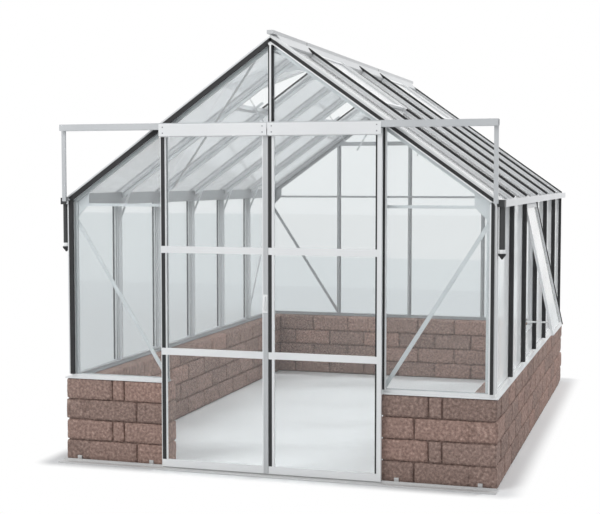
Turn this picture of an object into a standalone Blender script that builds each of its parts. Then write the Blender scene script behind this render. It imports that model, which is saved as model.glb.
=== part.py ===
"""Garden greenhouse: a glazed aluminium frame on a dwarf wall of split-faced blocks.

Four bays wide and six bays long, with two sliding doors in the front gable, two hinged
roof vents on each slope and one top-hung window in the right-hand wall.
Metres, +Z up. The origin is the middle of the door threshold, on the ground.
"""

import math

import bmesh
import bpy
from mathutils import Matrix, Vector

# Driving dimensions of the house
BAY = 0.744
BAYS_ACROSS = 4
BAYS_ALONG = 6
EAVE_HEIGHT = 1.860
PITCH = math.radians(35.5)
FIT = 0.0004

# Dwarf wall
COURSE_HEIGHT = 0.146
COURSES = 4
WALL_THICKNESS = 0.190
WALL_OVERHANG = 0.035
DOORWAY_HALF_WIDTH = 0.760
JAMB_OFFSET = 0.012
BLOCK_LENGTH = 0.366
CLOSER_LENGTH = 0.090
FRONT_FIRST_JOINTS = (0.175, 0.357)
SIDE_FIRST_JOINTS = (0.167, 0.366)
BLOCK_JOINT_WIDTH = 0.008
BLOCK_JOINT_DEPTH = 0.009

# Glass and the bars that hold it
GLASS = 0.004
GLASS_MARGIN = 0.002
SLOT_HALF_WIDTH = 0.005
NECK_HALF_WIDTH = 0.004
BAR_FLANGE_HALF_WIDTH = 0.015
BAR_FLANGE_DEPTH = 0.008
BAR_WEB_HALF_WIDTH = 0.007
BAR_DEPTH = 0.036
CAP_HALF_WIDTH = 0.017
CAP_CROWN_HALF_WIDTH = 0.012
CAP_HEIGHT = 0.030
CAP_SHOULDER = 0.0215
TRANSOM_HALF_HEIGHT = 0.010
TRANSOM_SETBACK = 0.012

# Sill on the dwarf wall
SILL_INSIDE = 0.060
SILL_OUTSIDE = 0.040
SILL_PLATE = 0.008
SILL_HEIGHT = 0.028
SILL_LIP = 0.006

# Corner posts and gable rafters share one section
CORNER_INSIDE = 0.050
CORNER_OUTSIDE = 0.018
CORNER_POCKET = 0.0225
CORNER_FLANGE = 0.020
SEAL_INNER = 0.027
SEAL_EDGE = 0.003
VERGE_EDGE = 0.010
SEAL_HEIGHT = 0.028
VERGE_REACH = 0.044
VERGE_HEIGHT = 0.022
GUSSET_LEG = 0.085
GUSSET_THICKNESS = 0.005
RAKE_OVERRUN = 0.060
LAP = 0.004

# Eave beam and gutter
EAVE_WEB = 0.004
EAVE_BEAM_BOTTOM = 0.060
GUTTER_WIDTH = 0.062
GUTTER_DEPTH = 0.048
GUTTER_WALL = 0.003
GUTTER_BACK = 0.010
GUTTER_STOP = 0.028
DRIP_REACH = 0.018

# Downpipe
PIPE_RADIUS = 0.019
PIPE_HEAD_HEIGHT = 0.046
PIPE_DROP = 0.270
RING_HEIGHT = 0.026
RING_RADIUS = 0.0165
CONE_RADIUS = 0.024
CONE_HEIGHT = 0.036

# Ridge
RIDGE_CAP_HALF_WIDTH = 0.022
RIDGE_CAP_HEIGHT = 0.052
RIDGE_FLANK = 0.062
RIDGE_TAPER = 0.9
RIDGE_DEPTH = 0.074
RIDGE_GLASS_REACH = 0.028
RIDGE_OVERHANG = 0.036

# Ribs
KNEE_HALF_WIDTH = 0.007
KNEE_THICKNESS = 0.012
KNEE_DROP = 0.170
KNEE_REACH = 0.100
RIDGE_PLATE_HALF_WIDTH = 0.140
RIDGE_PLATE_DEPTH = 0.070
RIDGE_PLATE_THICKNESS = 0.006

# Diagonal braces
BRACE_WIDTH = 0.028
BRACE_THICKNESS = 0.004
BRACE_FOOT = 0.030
BRACE_HEAD = 0.110
ROOF_BRACE_STATION = 2
ROOF_BRACE_FOOT = 0.160
ROOF_BRACE_HEAD = 0.180
BRACE_KNEE_GAP = 0.0015

# Sliding doors
LEAF_WIDTH = 0.772
LEAF_HEIGHT = 2.308
LEAF_THICKNESS = 0.030
LEAF_STANDOFF = 0.015
LEAF_GROUND_GAP = 0.012
LEAF_MEETING_GAP = 0.002
STILE_WIDTH = 0.040
TOP_RAIL = 0.045
MID_RAIL = 0.046
BOTTOM_RAIL = 0.050
MID_RAIL_HEIGHTS = (0.799, 1.499)
GLASS_REBATE = 0.010
REBATE_DEPTH = 0.012

# Door track and rollers
TRACK_OVERHANG = 0.012
TRACK_WALL = 0.003
TRACK_LEAF_GAP = 0.004
HEADER_RISE = 0.006
TRACK_BACK_GAP = 0.034
TRACK_FRONT = 0.104
TRACK_HEIGHT = 0.044
RAIL_HEIGHT = 0.006
ROLLER_RADIUS = 0.013
ROLLER_WIDTH = 0.008
ROLLER_INSET = 0.120
AXLE_RADIUS = 0.004
HANGER_WIDTH = 0.040
STRUT_WIDTH = 0.028
STRUT_THICKNESS = 0.016
STRUT_DROP = 0.025
STRUT_FOOT = 0.030

# Door handle
HANDLE_WIDTH = 0.032
HANDLE_HEIGHT = 0.122
HANDLE_PLATE = 0.004
HANDLE_CENTRE = 1.160
GRIP_DEPTH = 0.022
GRIP_RADIUS = 0.006

# Ground rail at the threshold
RAIL_DEPTH = 0.110
RAIL_PLATE = 0.005
GUIDE_WIDTH = 0.008
GUIDE_HEIGHT = 0.018
GROOVE_CLEARANCE = 0.003
CLIP_WIDTH = 0.030
CLIP_HEIGHT = 0.038
CLIP_PLACES = (0.870, 1.420)

# Roof vents and the side window
LIGHT_RAIL = 0.030
LIGHT_THICKNESS = 0.018
LIGHT_SEAT = 0.004
LIGHT_SIDE_GAP = 0.004
LIGHT_BEAD_RADIUS = 0.005
VENT_FOOT = 0.700
VENT_BAYS = (2, 5)
VENT_OPEN = math.radians(15.5)
WINDOW_BAY = 3
WINDOW_SILL_RISE = 0.1826
WINDOW_OPEN = math.radians(12.5)
WINDOW_HINGE_DROP = 0.0135
LIGHT_TRANSOM = 0.030
LIGHT_TRANSOM_SETBACK = 0.020
LIGHT_TRANSOM_WEB = 0.0145
COLLAR_HALF_HEIGHT = 0.020

# Stays of the vents and the window
STAY_WIDTH = 0.012
STAY_THICKNESS = 0.004
VENT_STAY_LENGTH = 0.400
WINDOW_STAY_LENGTH = 0.340
STAY_PIVOT_INSET = 0.0645
STAY_PIVOT_DROP = 0.025
STAY_LEAN = math.radians(4)
STAY_PIN_RADIUS = 0.0025
STAY_HOLE_RADIUS = 0.0029
STAY_HOLES = 6
STAY_LUG = 0.014
FORK_THICKNESS = 0.003
VENT_FORK_REACH = 0.090
VENT_FORK_DEPTH = 0.018
WINDOW_FORK_DEPTH = 0.016
WINDOW_FORK_HEIGHT = 0.130
HINGE_SEAT_WALL = 0.002

# Derived planes and levels
HALF_WIDTH = BAYS_ACROSS * BAY / 2 + GLASS_MARGIN
HALF_LENGTH = BAYS_ALONG * BAY / 2 + GLASS_MARGIN
WALL_HEIGHT = COURSES * COURSE_HEIGHT
RIDGE_HEIGHT = EAVE_HEIGHT + HALF_WIDTH * math.tan(PITCH)
SLOPE = HALF_WIDTH / math.cos(PITCH)
MASONRY_X = HALF_WIDTH + WALL_OVERHANG
MASONRY_Y = HALF_LENGTH + WALL_OVERHANG
SILL_BOTTOM = WALL_HEIGHT + FIT
SILL_TOP = SILL_BOTTOM + SILL_HEIGHT
BAR_FOOT = SILL_TOP + FIT
GLASS_FOOT = SILL_BOTTOM + SILL_PLATE + FIT
EAVE_BOTTOM = EAVE_HEIGHT - EAVE_BEAM_BOTTOM
GUTTER_BOTTOM = EAVE_HEIGHT - GUTTER_DEPTH
BAR_FACE = -GLASS - FIT
BAR_INSIDE = BAR_FACE - BAR_DEPTH
CAP_FACE = FIT
CAP_TOP = CAP_FACE + CAP_HEIGHT
GLASS_END = HALF_LENGTH - CORNER_POCKET - FIT
FRAME_END = HALF_LENGTH - VERGE_REACH - FIT
BRACE_FACE = BAR_FACE - TRANSOM_SETBACK + FIT
LEAF_INNER = WALL_OVERHANG + LEAF_STANDOFF
LEAF_OUTER = LEAF_INNER + LEAF_THICKNESS
LEAF_TOP = LEAF_GROUND_GAP + LEAF_HEIGHT
TRACK_BOTTOM = LEAF_TOP + TRACK_LEAF_GAP
TRACK_TOP = TRACK_BOTTOM + TRACK_HEIGHT
ROLLER_Z = TRACK_BOTTOM + RAIL_HEIGHT + FIT + ROLLER_RADIUS
TRACK_END = HALF_WIDTH + CORNER_OUTSIDE + TRACK_OVERHANG
HEADER_Z = TRACK_BOTTOM + HEADER_RISE
JAMB_X = DOORWAY_HALF_WIDTH + JAMB_OFFSET
HOUSE_Y = MASONRY_Y + RAIL_DEPTH / 2 + 0.006
HINGE_DOWN = (RIDGE_FLANK + FIT) / math.cos(PITCH) + LIGHT_BEAD_RADIUS
HINGE_OUT = LIGHT_SEAT + LIGHT_THICKNESS / 2
WINDOW_HINGE_Z = EAVE_BOTTOM + 0.012 - WINDOW_HINGE_DROP
WINDOW_FOOT = SILL_TOP + WINDOW_SILL_RISE
WINDOW_LENGTH = WINDOW_HINGE_Z - WINDOW_FOOT
CAP_START = HINGE_DOWN + HINGE_SEAT_WALL + FIT

COLOURS = {
    "aluminium": ((0.62, 0.64, 0.65, 1.0), 0.38, 0.9),
    "white_frame": ((0.80, 0.81, 0.81, 1.0), 0.42, 0.3),
    "rubber": ((0.035, 0.036, 0.036, 1.0), 0.60, 0.0),
    "glass": ((0.72, 0.80, 0.82, 0.35), 0.06, 0.0),
    "block": ((0.23, 0.17, 0.14, 1.0), 0.92, 0.0),
    "plastic": ((0.07, 0.07, 0.07, 1.0), 0.45, 0.0),
    "nylon": ((0.75, 0.74, 0.70, 1.0), 0.50, 0.0),
}


def clear_scene():
    for item in list(bpy.data.objects):
        bpy.data.objects.remove(item, do_unlink=True)


def make_material(name, finish):
    """One Principled material for one part."""
    colour, roughness, metallic = COLOURS[finish]
    material = bpy.data.materials.new(name)
    material.use_nodes = True
    shader = material.node_tree.nodes["Principled BSDF"]
    shader.inputs["Base Color"].default_value = colour
    shader.inputs["Roughness"].default_value = roughness
    shader.inputs["Metallic"].default_value = metallic
    shader.inputs["Alpha"].default_value = colour[3]
    material.diffuse_color = colour
    return material


def evaluated_mesh(item):
    """The mesh of an object with its modifiers applied, and the object removed."""
    item.select_set(False)
    bpy.context.view_layer.update()
    graph = bpy.context.evaluated_depsgraph_get()
    mesh = bpy.data.meshes.new_from_object(item.evaluated_get(graph))
    bpy.data.objects.remove(item, do_unlink=True)
    return mesh


def tidy(mesh):
    """Weld loose caps and turn the faces outwards."""
    work = bmesh.new()
    work.from_mesh(mesh)
    bmesh.ops.remove_doubles(work, verts=work.verts, dist=0.00001)
    bmesh.ops.recalc_face_normals(work, faces=work.faces)
    if work.calc_volume(signed=True) < 0:
        bmesh.ops.reverse_faces(work, faces=work.faces)
    work.to_mesh(mesh)
    work.free()
    return mesh


def temporary(mesh_or_curve):
    item = bpy.data.objects.new("work", mesh_or_curve)
    bpy.context.scene.collection.objects.link(item)
    return item


def plate(outline, depth, holes=()):
    """A flat outline in XY with its holes, extruded by half the depth each way in Z."""
    curve = bpy.data.curves.new("outline", "CURVE")
    curve.dimensions = "2D"
    curve.fill_mode = "BOTH"
    curve.extrude = depth / 2
    for ring in (outline, *holes):
        spline = curve.splines.new("POLY")
        spline.points.add(len(ring) - 1)
        for point, (x, y) in zip(spline.points, ring):
            point.co = (x, y, 0, 1)
        spline.use_cyclic_u = True
    return tidy(evaluated_mesh(temporary(curve)))


def place(mesh, origin, x_axis, y_axis):
    """Move a mesh from its own XY plane to an origin and two axes."""
    x_axis = Vector(x_axis).normalized()
    y_axis = Vector(y_axis).normalized()
    turn = Matrix((x_axis, y_axis, x_axis.cross(y_axis))).transposed().to_4x4()
    turn.translation = Vector(origin)
    mesh.transform(turn)
    return mesh


def bar(section, start, end, outward):
    """A section (across, outward) extruded from start to end."""
    start, end = Vector(start), Vector(end)
    along = (end - start).normalized()
    up = Vector(outward)
    up = (up - along * up.dot(along)).normalized()
    mesh = plate(section, (end - start).length)
    return place(mesh, (start + end) / 2, up.cross(along), up)


def box(low, high):
    """A box between two corners."""
    work = bmesh.new()
    bmesh.ops.create_cube(work, size=1)
    low, high = Vector(low), Vector(high)
    bmesh.ops.scale(work, vec=high - low, verts=work.verts)
    bmesh.ops.translate(work, vec=(low + high) / 2, verts=work.verts)
    mesh = bpy.data.meshes.new("box")
    work.to_mesh(mesh)
    work.free()
    return mesh


def cylinder(radius, start, end, sides=24, end_radius=None):
    """A round bar between two points."""
    start, end = Vector(start), Vector(end)
    work = bmesh.new()
    bmesh.ops.create_cone(work, cap_ends=True, segments=sides, radius1=radius,
                          radius2=radius if end_radius is None else end_radius,
                          depth=(end - start).length)
    turn = (end - start).to_track_quat("Z", "Y").to_matrix()
    bmesh.ops.transform(work, matrix=turn.to_4x4(), verts=work.verts)
    bmesh.ops.translate(work, vec=(start + end) / 2, verts=work.verts)
    mesh = bpy.data.meshes.new("cylinder")
    work.to_mesh(mesh)
    work.free()
    return mesh


def trim(mesh, point, normal):
    """Cut a closed mesh at a plane and keep the side behind the normal."""
    work = bmesh.new()
    work.from_mesh(mesh)
    cut = bmesh.ops.bisect_plane(work, geom=work.verts[:] + work.edges[:] + work.faces[:],
                                 plane_co=Vector(point), plane_no=Vector(normal), clear_outer=True)
    edges = [piece for piece in cut["geom_cut"] if isinstance(piece, bmesh.types.BMEdge)]
    if edges:
        bmesh.ops.edgenet_fill(work, edges=edges)
    work.to_mesh(mesh)
    work.free()
    return tidy(mesh)


def combine(base, others, operation="UNION"):
    """Join overlapping pieces into one body, or cut them out of the first one."""
    tools = bpy.data.collections.new("tools")
    bpy.context.scene.collection.children.link(tools)
    for mesh in others:
        tools.objects.link(bpy.data.objects.new("tool", mesh))
    body = temporary(base)
    step = body.modifiers.new("combine", "BOOLEAN")
    step.operation = operation
    step.solver = "EXACT"
    step.operand_type = "COLLECTION"
    step.collection = tools
    mesh = evaluated_mesh(body)
    for item in list(tools.objects):
        bpy.data.objects.remove(item, do_unlink=True)
    bpy.data.collections.remove(tools)
    return tidy(mesh)


def add_part(name, mesh, finish, origin=(0, 0, 0), turn=None, smooth=False, parent=None):
    """Make the named object. The mesh is in house coordinates, or with a turn in its own."""
    mesh.name = name
    item = bpy.data.objects.new(name, mesh)
    if turn is None:
        mesh.transform(Matrix.Translation(-Vector(origin)))
    else:
        item.rotation_euler = turn
    item.location = origin
    if not mesh.materials:
        mesh.materials.append(make_material(name, finish))
    if smooth:
        mesh.shade_smooth()
        mesh.set_sharp_from_angle(angle=math.radians(35))
    PARTS.objects.link(item)
    item.parent = parent or HOUSE
    return item


def rectangle(x0, x1, y0, y1):
    return [(x0, y0), (x1, y0), (x1, y1), (x0, y1)]


def circle(x, y, radius, sides):
    angles = [2 * math.pi * step / sides for step in range(sides)]
    return [(x + radius * math.cos(angle), y + radius * math.sin(angle)) for angle in angles]


def roof_line(x, outward=0.0):
    """Height of the plane of the roof glass at x, moved outwards square to the slope."""
    return RIDGE_HEIGHT - abs(x) * math.tan(PITCH) + outward / math.cos(PITCH)


def roof_point(side, y, down, outward):
    """A point on a slope: distance down from the ridge line and outwards from the glass."""
    x = down * math.cos(PITCH) + outward * math.sin(PITCH)
    z = RIDGE_HEIGHT - down * math.sin(PITCH) + outward * math.cos(PITCH)
    return Vector((side * x, y, z))


def slope_axes(side):
    """Directions down the slope and outwards from it."""
    down = Vector((side * math.cos(PITCH), 0, -math.sin(PITCH)))
    outward = Vector((side * math.sin(PITCH), 0, math.cos(PITCH)))
    return down, outward


def bar_inside_section():
    """Inner aluminium part of a glazing bar: a flange against the glass and a web."""
    step = BAR_FACE - BAR_FLANGE_DEPTH
    half = [(BAR_FLANGE_HALF_WIDTH, BAR_FACE), (BAR_FLANGE_HALF_WIDTH, step),
            (BAR_WEB_HALF_WIDTH, step - BAR_FLANGE_DEPTH / 2), (BAR_WEB_HALF_WIDTH, BAR_INSIDE)]
    return half + [(-x, y) for x, y in reversed(half)]


def bar_cap_section():
    """Outer part of a glazing bar: the core between its two rubber seals."""
    half = [(CAP_HALF_WIDTH, CAP_FACE), (CAP_HALF_WIDTH, CAP_FACE + CAP_SHOULDER),
            (CAP_CROWN_HALF_WIDTH, CAP_TOP)]
    return half + [(-x, y) for x, y in reversed(half)]


def bar_neck_section():
    """The web that joins both parts between two panes."""
    return rectangle(-NECK_HALF_WIDTH, NECK_HALF_WIDTH, BAR_FACE - 0.001, CAP_FACE + 0.001)


def glazing_bar(point_at, outward, inner, neck, cap):
    """The three parts of a glazing bar, each over its own stretch of one line."""
    return [bar(bar_inside_section(), point_at(inner[0]), point_at(inner[1]), outward),
            bar(bar_neck_section(), point_at(neck[0]), point_at(neck[1]), outward),
            bar(bar_cap_section(), point_at(cap[0]), point_at(cap[1]), outward)]


def station(number):
    """Y of the glazing bar between bay number and the next, counted from the front."""
    return (number - BAYS_ALONG / 2) * BAY


# Dwarf wall of split-faced blocks, laid in half bond
def joint_places(length, course, first_joints, closer):
    """Places of the upright joints along one course, from its start.

    The odd courses start with a long block, and with a closer behind it beside the door.
    """
    places = []
    joint = first_joints[course % 2]
    while joint < length - CLOSER_LENGTH / 2:
        places.append(joint)
        short = closer and course % 2 == 1 and len(places) == 1
        joint += CLOSER_LENGTH if short else BLOCK_LENGTH
    return places


def wall(name, low, high, face, along, first_joints=SIDE_FIRST_JOINTS, closer=False):
    """A straight wall. The outer face, square to `face`, has its joints cut in."""
    solid = box(low, high)
    low, high = Vector(low), Vector(high)
    face = Vector(face)
    run = Vector(along)
    length = abs((high - low).dot(run))
    outer = max(low.dot(face), high.dot(face))
    start = min(low.dot(run), high.dot(run))
    cutters = []

    def groove(run_low, run_high, z_low, z_high):
        corner_a = run * run_low + face * (outer - BLOCK_JOINT_DEPTH)
        corner_b = run * run_high + face * (outer + BLOCK_JOINT_DEPTH)
        return box([min(a, b) for a, b in zip(corner_a.xy, corner_b.xy)] + [z_low],
                   [max(a, b) for a, b in zip(corner_a.xy, corner_b.xy)] + [z_high])

    for course in range(COURSES):
        floor = course * COURSE_HEIGHT
        if course:
            cutters.append(groove(start - 0.01, start + length + 0.01,
                                  floor - BLOCK_JOINT_WIDTH / 2, floor + BLOCK_JOINT_WIDTH / 2))
        for joint in joint_places(length, course, first_joints, closer):
            cutters.append(groove(start + joint - BLOCK_JOINT_WIDTH / 2,
                                  start + joint + BLOCK_JOINT_WIDTH / 2,
                                  floor - 0.001 if course == 0 else floor,
                                  floor + COURSE_HEIGHT + (0.001 if course == COURSES - 1 else 0)))
    mesh = combine(solid, cutters, "DIFFERENCE")
    add_part(name, mesh, "block", origin=((low.x + high.x) / 2, (low.y + high.y) / 2, 0))


def build_dwarf_wall():
    inner_y = MASONRY_Y - WALL_THICKNESS
    for side, word in ((-1, "left"), (1, "right")):
        x_range = sorted((side * MASONRY_X, side * (MASONRY_X - WALL_THICKNESS)))
        wall("wall_" + word, (x_range[0], -MASONRY_Y + WALL_THICKNESS + FIT, 0),
             (x_range[1], MASONRY_Y, WALL_HEIGHT), (side, 0, 0), (0, 1, 0))
        x_range = sorted((side * MASONRY_X, side * DOORWAY_HALF_WIDTH))
        wall("wall_front_" + word, (x_range[0], -MASONRY_Y, 0),
             (x_range[1], -inner_y, WALL_HEIGHT), (0, -1, 0), (-side, 0, 0),
             FRONT_FIRST_JOINTS, closer=True)
    inner_x = MASONRY_X - WALL_THICKNESS - FIT
    wall("wall_rear", (-inner_x, inner_y, 0), (inner_x, MASONRY_Y, WALL_HEIGHT),
         (0, 1, 0), (1, 0, 0))


# Sill: a plate with two lips that hold the lower edges of the glass
def sill_ring(inside, outside):
    """Outline of a band around the house at two distances from the glass, open at the door."""
    gap = DOORWAY_HALF_WIDTH
    outer_x, outer_y = HALF_WIDTH + outside, HALF_LENGTH + outside
    inner_x, inner_y = HALF_WIDTH - inside, HALF_LENGTH - inside
    return [(gap, -outer_y), (outer_x, -outer_y), (outer_x, outer_y), (-outer_x, outer_y),
            (-outer_x, -outer_y), (-gap, -outer_y), (-gap, -inner_y), (-inner_x, -inner_y),
            (-inner_x, inner_y), (inner_x, inner_y), (inner_x, -inner_y), (gap, -inner_y)]


def build_sill():
    levels = ((SILL_INSIDE, SILL_OUTSIDE, 0, SILL_PLATE),
              (GLASS + FIT + BAR_DEPTH, -GLASS - FIT, SILL_PLATE - 0.001, SILL_HEIGHT),
              (-FIT, SILL_LIP + FIT, SILL_PLATE - 0.001, SILL_HEIGHT))
    bands = []
    for inside, outside, bottom, top in levels:
        band = plate(sill_ring(inside, outside), top - bottom)
        band.transform(Matrix.Translation((0, 0, SILL_BOTTOM + (bottom + top) / 2)))
        bands.append(band)
    add_part("sill", combine(bands[0], bands[1:]), "aluminium", origin=(0, 0, SILL_BOTTOM))


# Gable frames: corner post, half of the gable rafter, gusset and eave-level transom
def corner_section(side):
    """Section of post and rafter: across to the gable, outwards to the wall or the roof."""
    in_, out = CORNER_INSIDE, CORNER_OUTSIDE
    gable = GLASS + FIT
    leg = CORNER_FLANGE
    points = [(-in_, -leg), (-in_, -gable), (-CORNER_POCKET, -gable), (-CORNER_POCKET, FIT),
              (-SEAL_INNER, FIT), (-SEAL_INNER, SEAL_HEIGHT), (SEAL_EDGE, SEAL_HEIGHT),
              (SEAL_EDGE, out), (out, out), (out, -VERGE_EDGE), (VERGE_HEIGHT, -VERGE_EDGE),
              (VERGE_HEIGHT, -VERGE_REACH), (FIT, -VERGE_REACH), (FIT, -CORNER_POCKET),
              (-gable, -CORNER_POCKET), (-gable, -VERGE_REACH), (-leg, -VERGE_REACH),
              (-leg, -leg)]
    return [(side * x, y) for x, y in points]


def build_gable_frame(end, side):
    """End is -1 at the front and 1 at the rear, side is -1 left and 1 right."""
    corner = Vector((side * HALF_WIDTH, end * HALF_LENGTH, 0))
    head = EAVE_HEIGHT - 0.030
    gable_out = (0, end, 0)
    turned = side * end
    post = bar(corner_section(turned), corner + Vector((0, 0, BAR_FOOT)),
               corner + Vector((0, 0, head)), gable_out)
    rake_start = roof_point(side, end * HALF_LENGTH, SLOPE + RAKE_OVERRUN, 0)
    rake_end = roof_point(side, end * HALF_LENGTH, -RAKE_OVERRUN, 0)
    rafter = bar(corner_section(turned), rake_start, rake_end, gable_out)
    rafter = trim(rafter, (side * FIT, 0, 0), (-side, 0, 0))
    rafter = trim(rafter, (side * (HALF_WIDTH + CORNER_OUTSIDE), 0, 0), (side, 0, 0))
    inner_x = HALF_WIDTH - CORNER_INSIDE + LAP
    foot = JAMB_X if end < 0 else BAY
    transom_end = foot + BAR_FLANGE_HALF_WIDTH + FIT
    face = BAR_FACE - TRANSOM_SETBACK
    level = EAVE_BOTTOM + TRANSOM_HALF_HEIGHT
    transom = box((min(side * inner_x, side * transom_end),
                   min(end * (HALF_LENGTH + BAR_INSIDE), end * (HALF_LENGTH + face)),
                   level - TRANSOM_HALF_HEIGHT),
                  (max(side * inner_x, side * transom_end),
                   max(end * (HALF_LENGTH + BAR_INSIDE), end * (HALF_LENGTH + face)),
                   level + TRANSOM_HALF_HEIGHT))
    tip = inner_x - GUSSET_LEG
    gusset_outline = [(inner_x, level - GUSSET_LEG), (inner_x, roof_line(inner_x, -CORNER_INSIDE + LAP)),
                      (tip, roof_line(tip, -CORNER_INSIDE + LAP)), (tip, level)]
    gusset = plate([(side * x, z) for x, z in gusset_outline], GUSSET_THICKNESS)
    gusset = place(gusset, (0, end * (HALF_LENGTH + face - GUSSET_THICKNESS / 2), 0), (1, 0, 0), (0, 0, 1))
    web = box((min(side * inner_x, side * (inner_x + 0.012)),
               min(end * (HALF_LENGTH - CORNER_FLANGE), end * (HALF_LENGTH + BAR_INSIDE)),
               level - GUSSET_LEG),
              (max(side * inner_x, side * (inner_x + 0.012)),
               max(end * (HALF_LENGTH - CORNER_FLANGE + 0.001), end * (HALF_LENGTH + BAR_INSIDE)), level))
    name = ("front" if end < 0 else "rear") + "_gable_frame_" + ("left" if side < 0 else "right")
    pieces = [rafter, transom, gusset, web]
    if end < 0 or side < 0:
        pieces.append(gable_brace(end, side, foot))
    mesh = combine(post, pieces)
    add_part(name, mesh, "white_frame", origin=corner + Vector((0, 0, BAR_FOOT)))


# Ribs: the glazing bars of both walls and both slopes at one station
def vent_transom(side, foot):
    """Cross bar below a roof vent, from its rib to just short of the next one."""
    top = foot - LIGHT_TRANSOM_SETBACK - LIGHT_TRANSOM
    down, outward = slope_axes(side)
    reach = (BAR_WEB_HALF_WIDTH / 2, BAY - BAR_FLANGE_HALF_WIDTH - FIT)
    start = roof_point(side, reach[0], top, 0)
    finish = roof_point(side, reach[1], top, 0)
    section = rectangle(0, LIGHT_TRANSOM, BAR_INSIDE, BAR_FACE)
    web = rectangle(0, LIGHT_TRANSOM_WEB, BAR_FACE - 0.001, 0)
    flip = 1 if outward.cross(finish - start).dot(down) > 0 else -1
    pieces = [bar([(flip * x, y) for x, y in section], start, finish, outward),
              bar([(flip * x, y) for x, y in web], roof_point(side, 0, top, 0), finish, outward)]
    for turn in (-1, 1):
        near = turn * (STAY_THICKNESS / 2 + FIT)
        prong = rectangle(near, near + turn * FORK_THICKNESS, BAR_INSIDE, BAR_INSIDE + VENT_FORK_DEPTH)
        pieces.append(bar(prong, roof_point(side, BAY / 2, top - VENT_FORK_REACH, 0),
                          roof_point(side, BAY / 2, top + 0.002, 0), outward))
    return pieces


def window_transom():
    """Cross bar below the side window, from its rib to just short of the next one."""
    level = WINDOW_FOOT
    low = box((HALF_WIDTH + BAR_INSIDE, BAR_WEB_HALF_WIDTH / 2, level - 0.010),
              (HALF_WIDTH + BAR_FACE, BAY - BAR_FLANGE_HALF_WIDTH - FIT, level + LIGHT_TRANSOM_SETBACK))
    web = box((HALF_WIDTH + BAR_FACE - 0.001, 0, level + LIGHT_TRANSOM_SETBACK - LIGHT_TRANSOM_WEB),
              (HALF_WIDTH, BAY - BAR_FLANGE_HALF_WIDTH - FIT, level + LIGHT_TRANSOM_SETBACK))
    pieces = [low, web]
    for turn in (-1, 1):
        near = BAY / 2 + turn * (STAY_THICKNESS / 2 + FIT)
        far = near + turn * FORK_THICKNESS
        pieces.append(box((HALF_WIDTH + BAR_INSIDE, min(near, far), level + LIGHT_TRANSOM_SETBACK - 0.002),
                          (HALF_WIDTH + BAR_INSIDE + WINDOW_FORK_DEPTH, max(near, far),
                           level + LIGHT_TRANSOM_SETBACK + WINDOW_FORK_HEIGHT)))
    return pieces


def build_rib(number):
    """One rib, drawn at y = 0 and moved to its station."""
    ridge_trim = RIDGE_FLANK * RIDGE_TAPER
    pieces = []
    slot_top = EAVE_BOTTOM - FIT
    for side in (-1, 1):
        out = Vector((side, 0, 0))
        base = Vector((side * HALF_WIDTH, 0, 0))
        pieces += glazing_bar(lambda z: base + Vector((0, 0, z)), out,
                              (BAR_FOOT, EAVE_BOTTOM - FIT), (BAR_FOOT + 0.001, slot_top - 0.001),
                              (BAR_FOOT, GUTTER_BOTTOM - FIT))
        down, outward = slope_axes(side)
        cap_top = CAP_START
        rafter = glazing_bar(lambda s: roof_point(side, 0, s, 0), outward,
                             (-0.05, SLOPE + 0.05), (cap_top, SLOPE - 0.006),
                             (cap_top, SLOPE + DRIP_REACH / math.cos(PITCH)))
        eave_face = HALF_WIDTH - CORNER_INSIDE - FIT
        rafter[0] = trim(rafter[0], (side * eave_face, 0, 0), (side, 0, 0))
        rafter[0] = trim(rafter[0], (side * (ridge_trim + FIT), 0, 0), (-side, 0, 0))
        rafter[1] = trim(rafter[1], (side * eave_face, 0, 0), (side, 0, 0))
        rafter[1] = trim(rafter[1], (side * (RIDGE_FLANK + FIT), 0, 0), (-side, 0, 0))
        pieces += rafter
        foot = Vector((side * (HALF_WIDTH + BAR_INSIDE + 0.010), 0, EAVE_HEIGHT - KNEE_DROP))
        knee_head = roof_point(side, 0, SLOPE - KNEE_REACH - 0.020, BAR_INSIDE + 0.008)
        knee = rectangle(-KNEE_THICKNESS / 2, KNEE_THICKNESS / 2, -KNEE_HALF_WIDTH, KNEE_HALF_WIDTH)
        pieces.append(bar(knee, foot, knee_head, (-side, 0, 0)))
        if number in (bay - 1 for bay in VENT_BAYS):
            pieces += vent_transom(side, VENT_FOOT)
        if side > 0 and number == WINDOW_BAY - 1:
            pieces += window_transom()
        if number == BAYS_ALONG - 1:
            pieces.append(wall_brace(side))
    wide = RIDGE_PLATE_HALF_WIDTH
    plate_top = RIDGE_HEIGHT - RIDGE_DEPTH - FIT
    outline = [(-wide, roof_line(wide, BAR_INSIDE + 0.010)), (-wide, roof_line(wide, BAR_INSIDE - 0.010)),
               (-wide / 3, plate_top - RIDGE_PLATE_DEPTH), (wide / 3, plate_top - RIDGE_PLATE_DEPTH),
               (wide, roof_line(wide, BAR_INSIDE - 0.010)), (wide, roof_line(wide, BAR_INSIDE + 0.010)),
               (ridge_trim, plate_top), (-ridge_trim, plate_top)]
    ridge_plate = place(plate(outline, RIDGE_PLATE_THICKNESS), (0, 0, 0), (1, 0, 0), (0, 0, 1))
    pieces.append(ridge_plate)
    mesh = combine(pieces[0], pieces[1:])
    item = add_part("rib_%d" % number, mesh, "aluminium")
    item.location.y = station(number)


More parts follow.
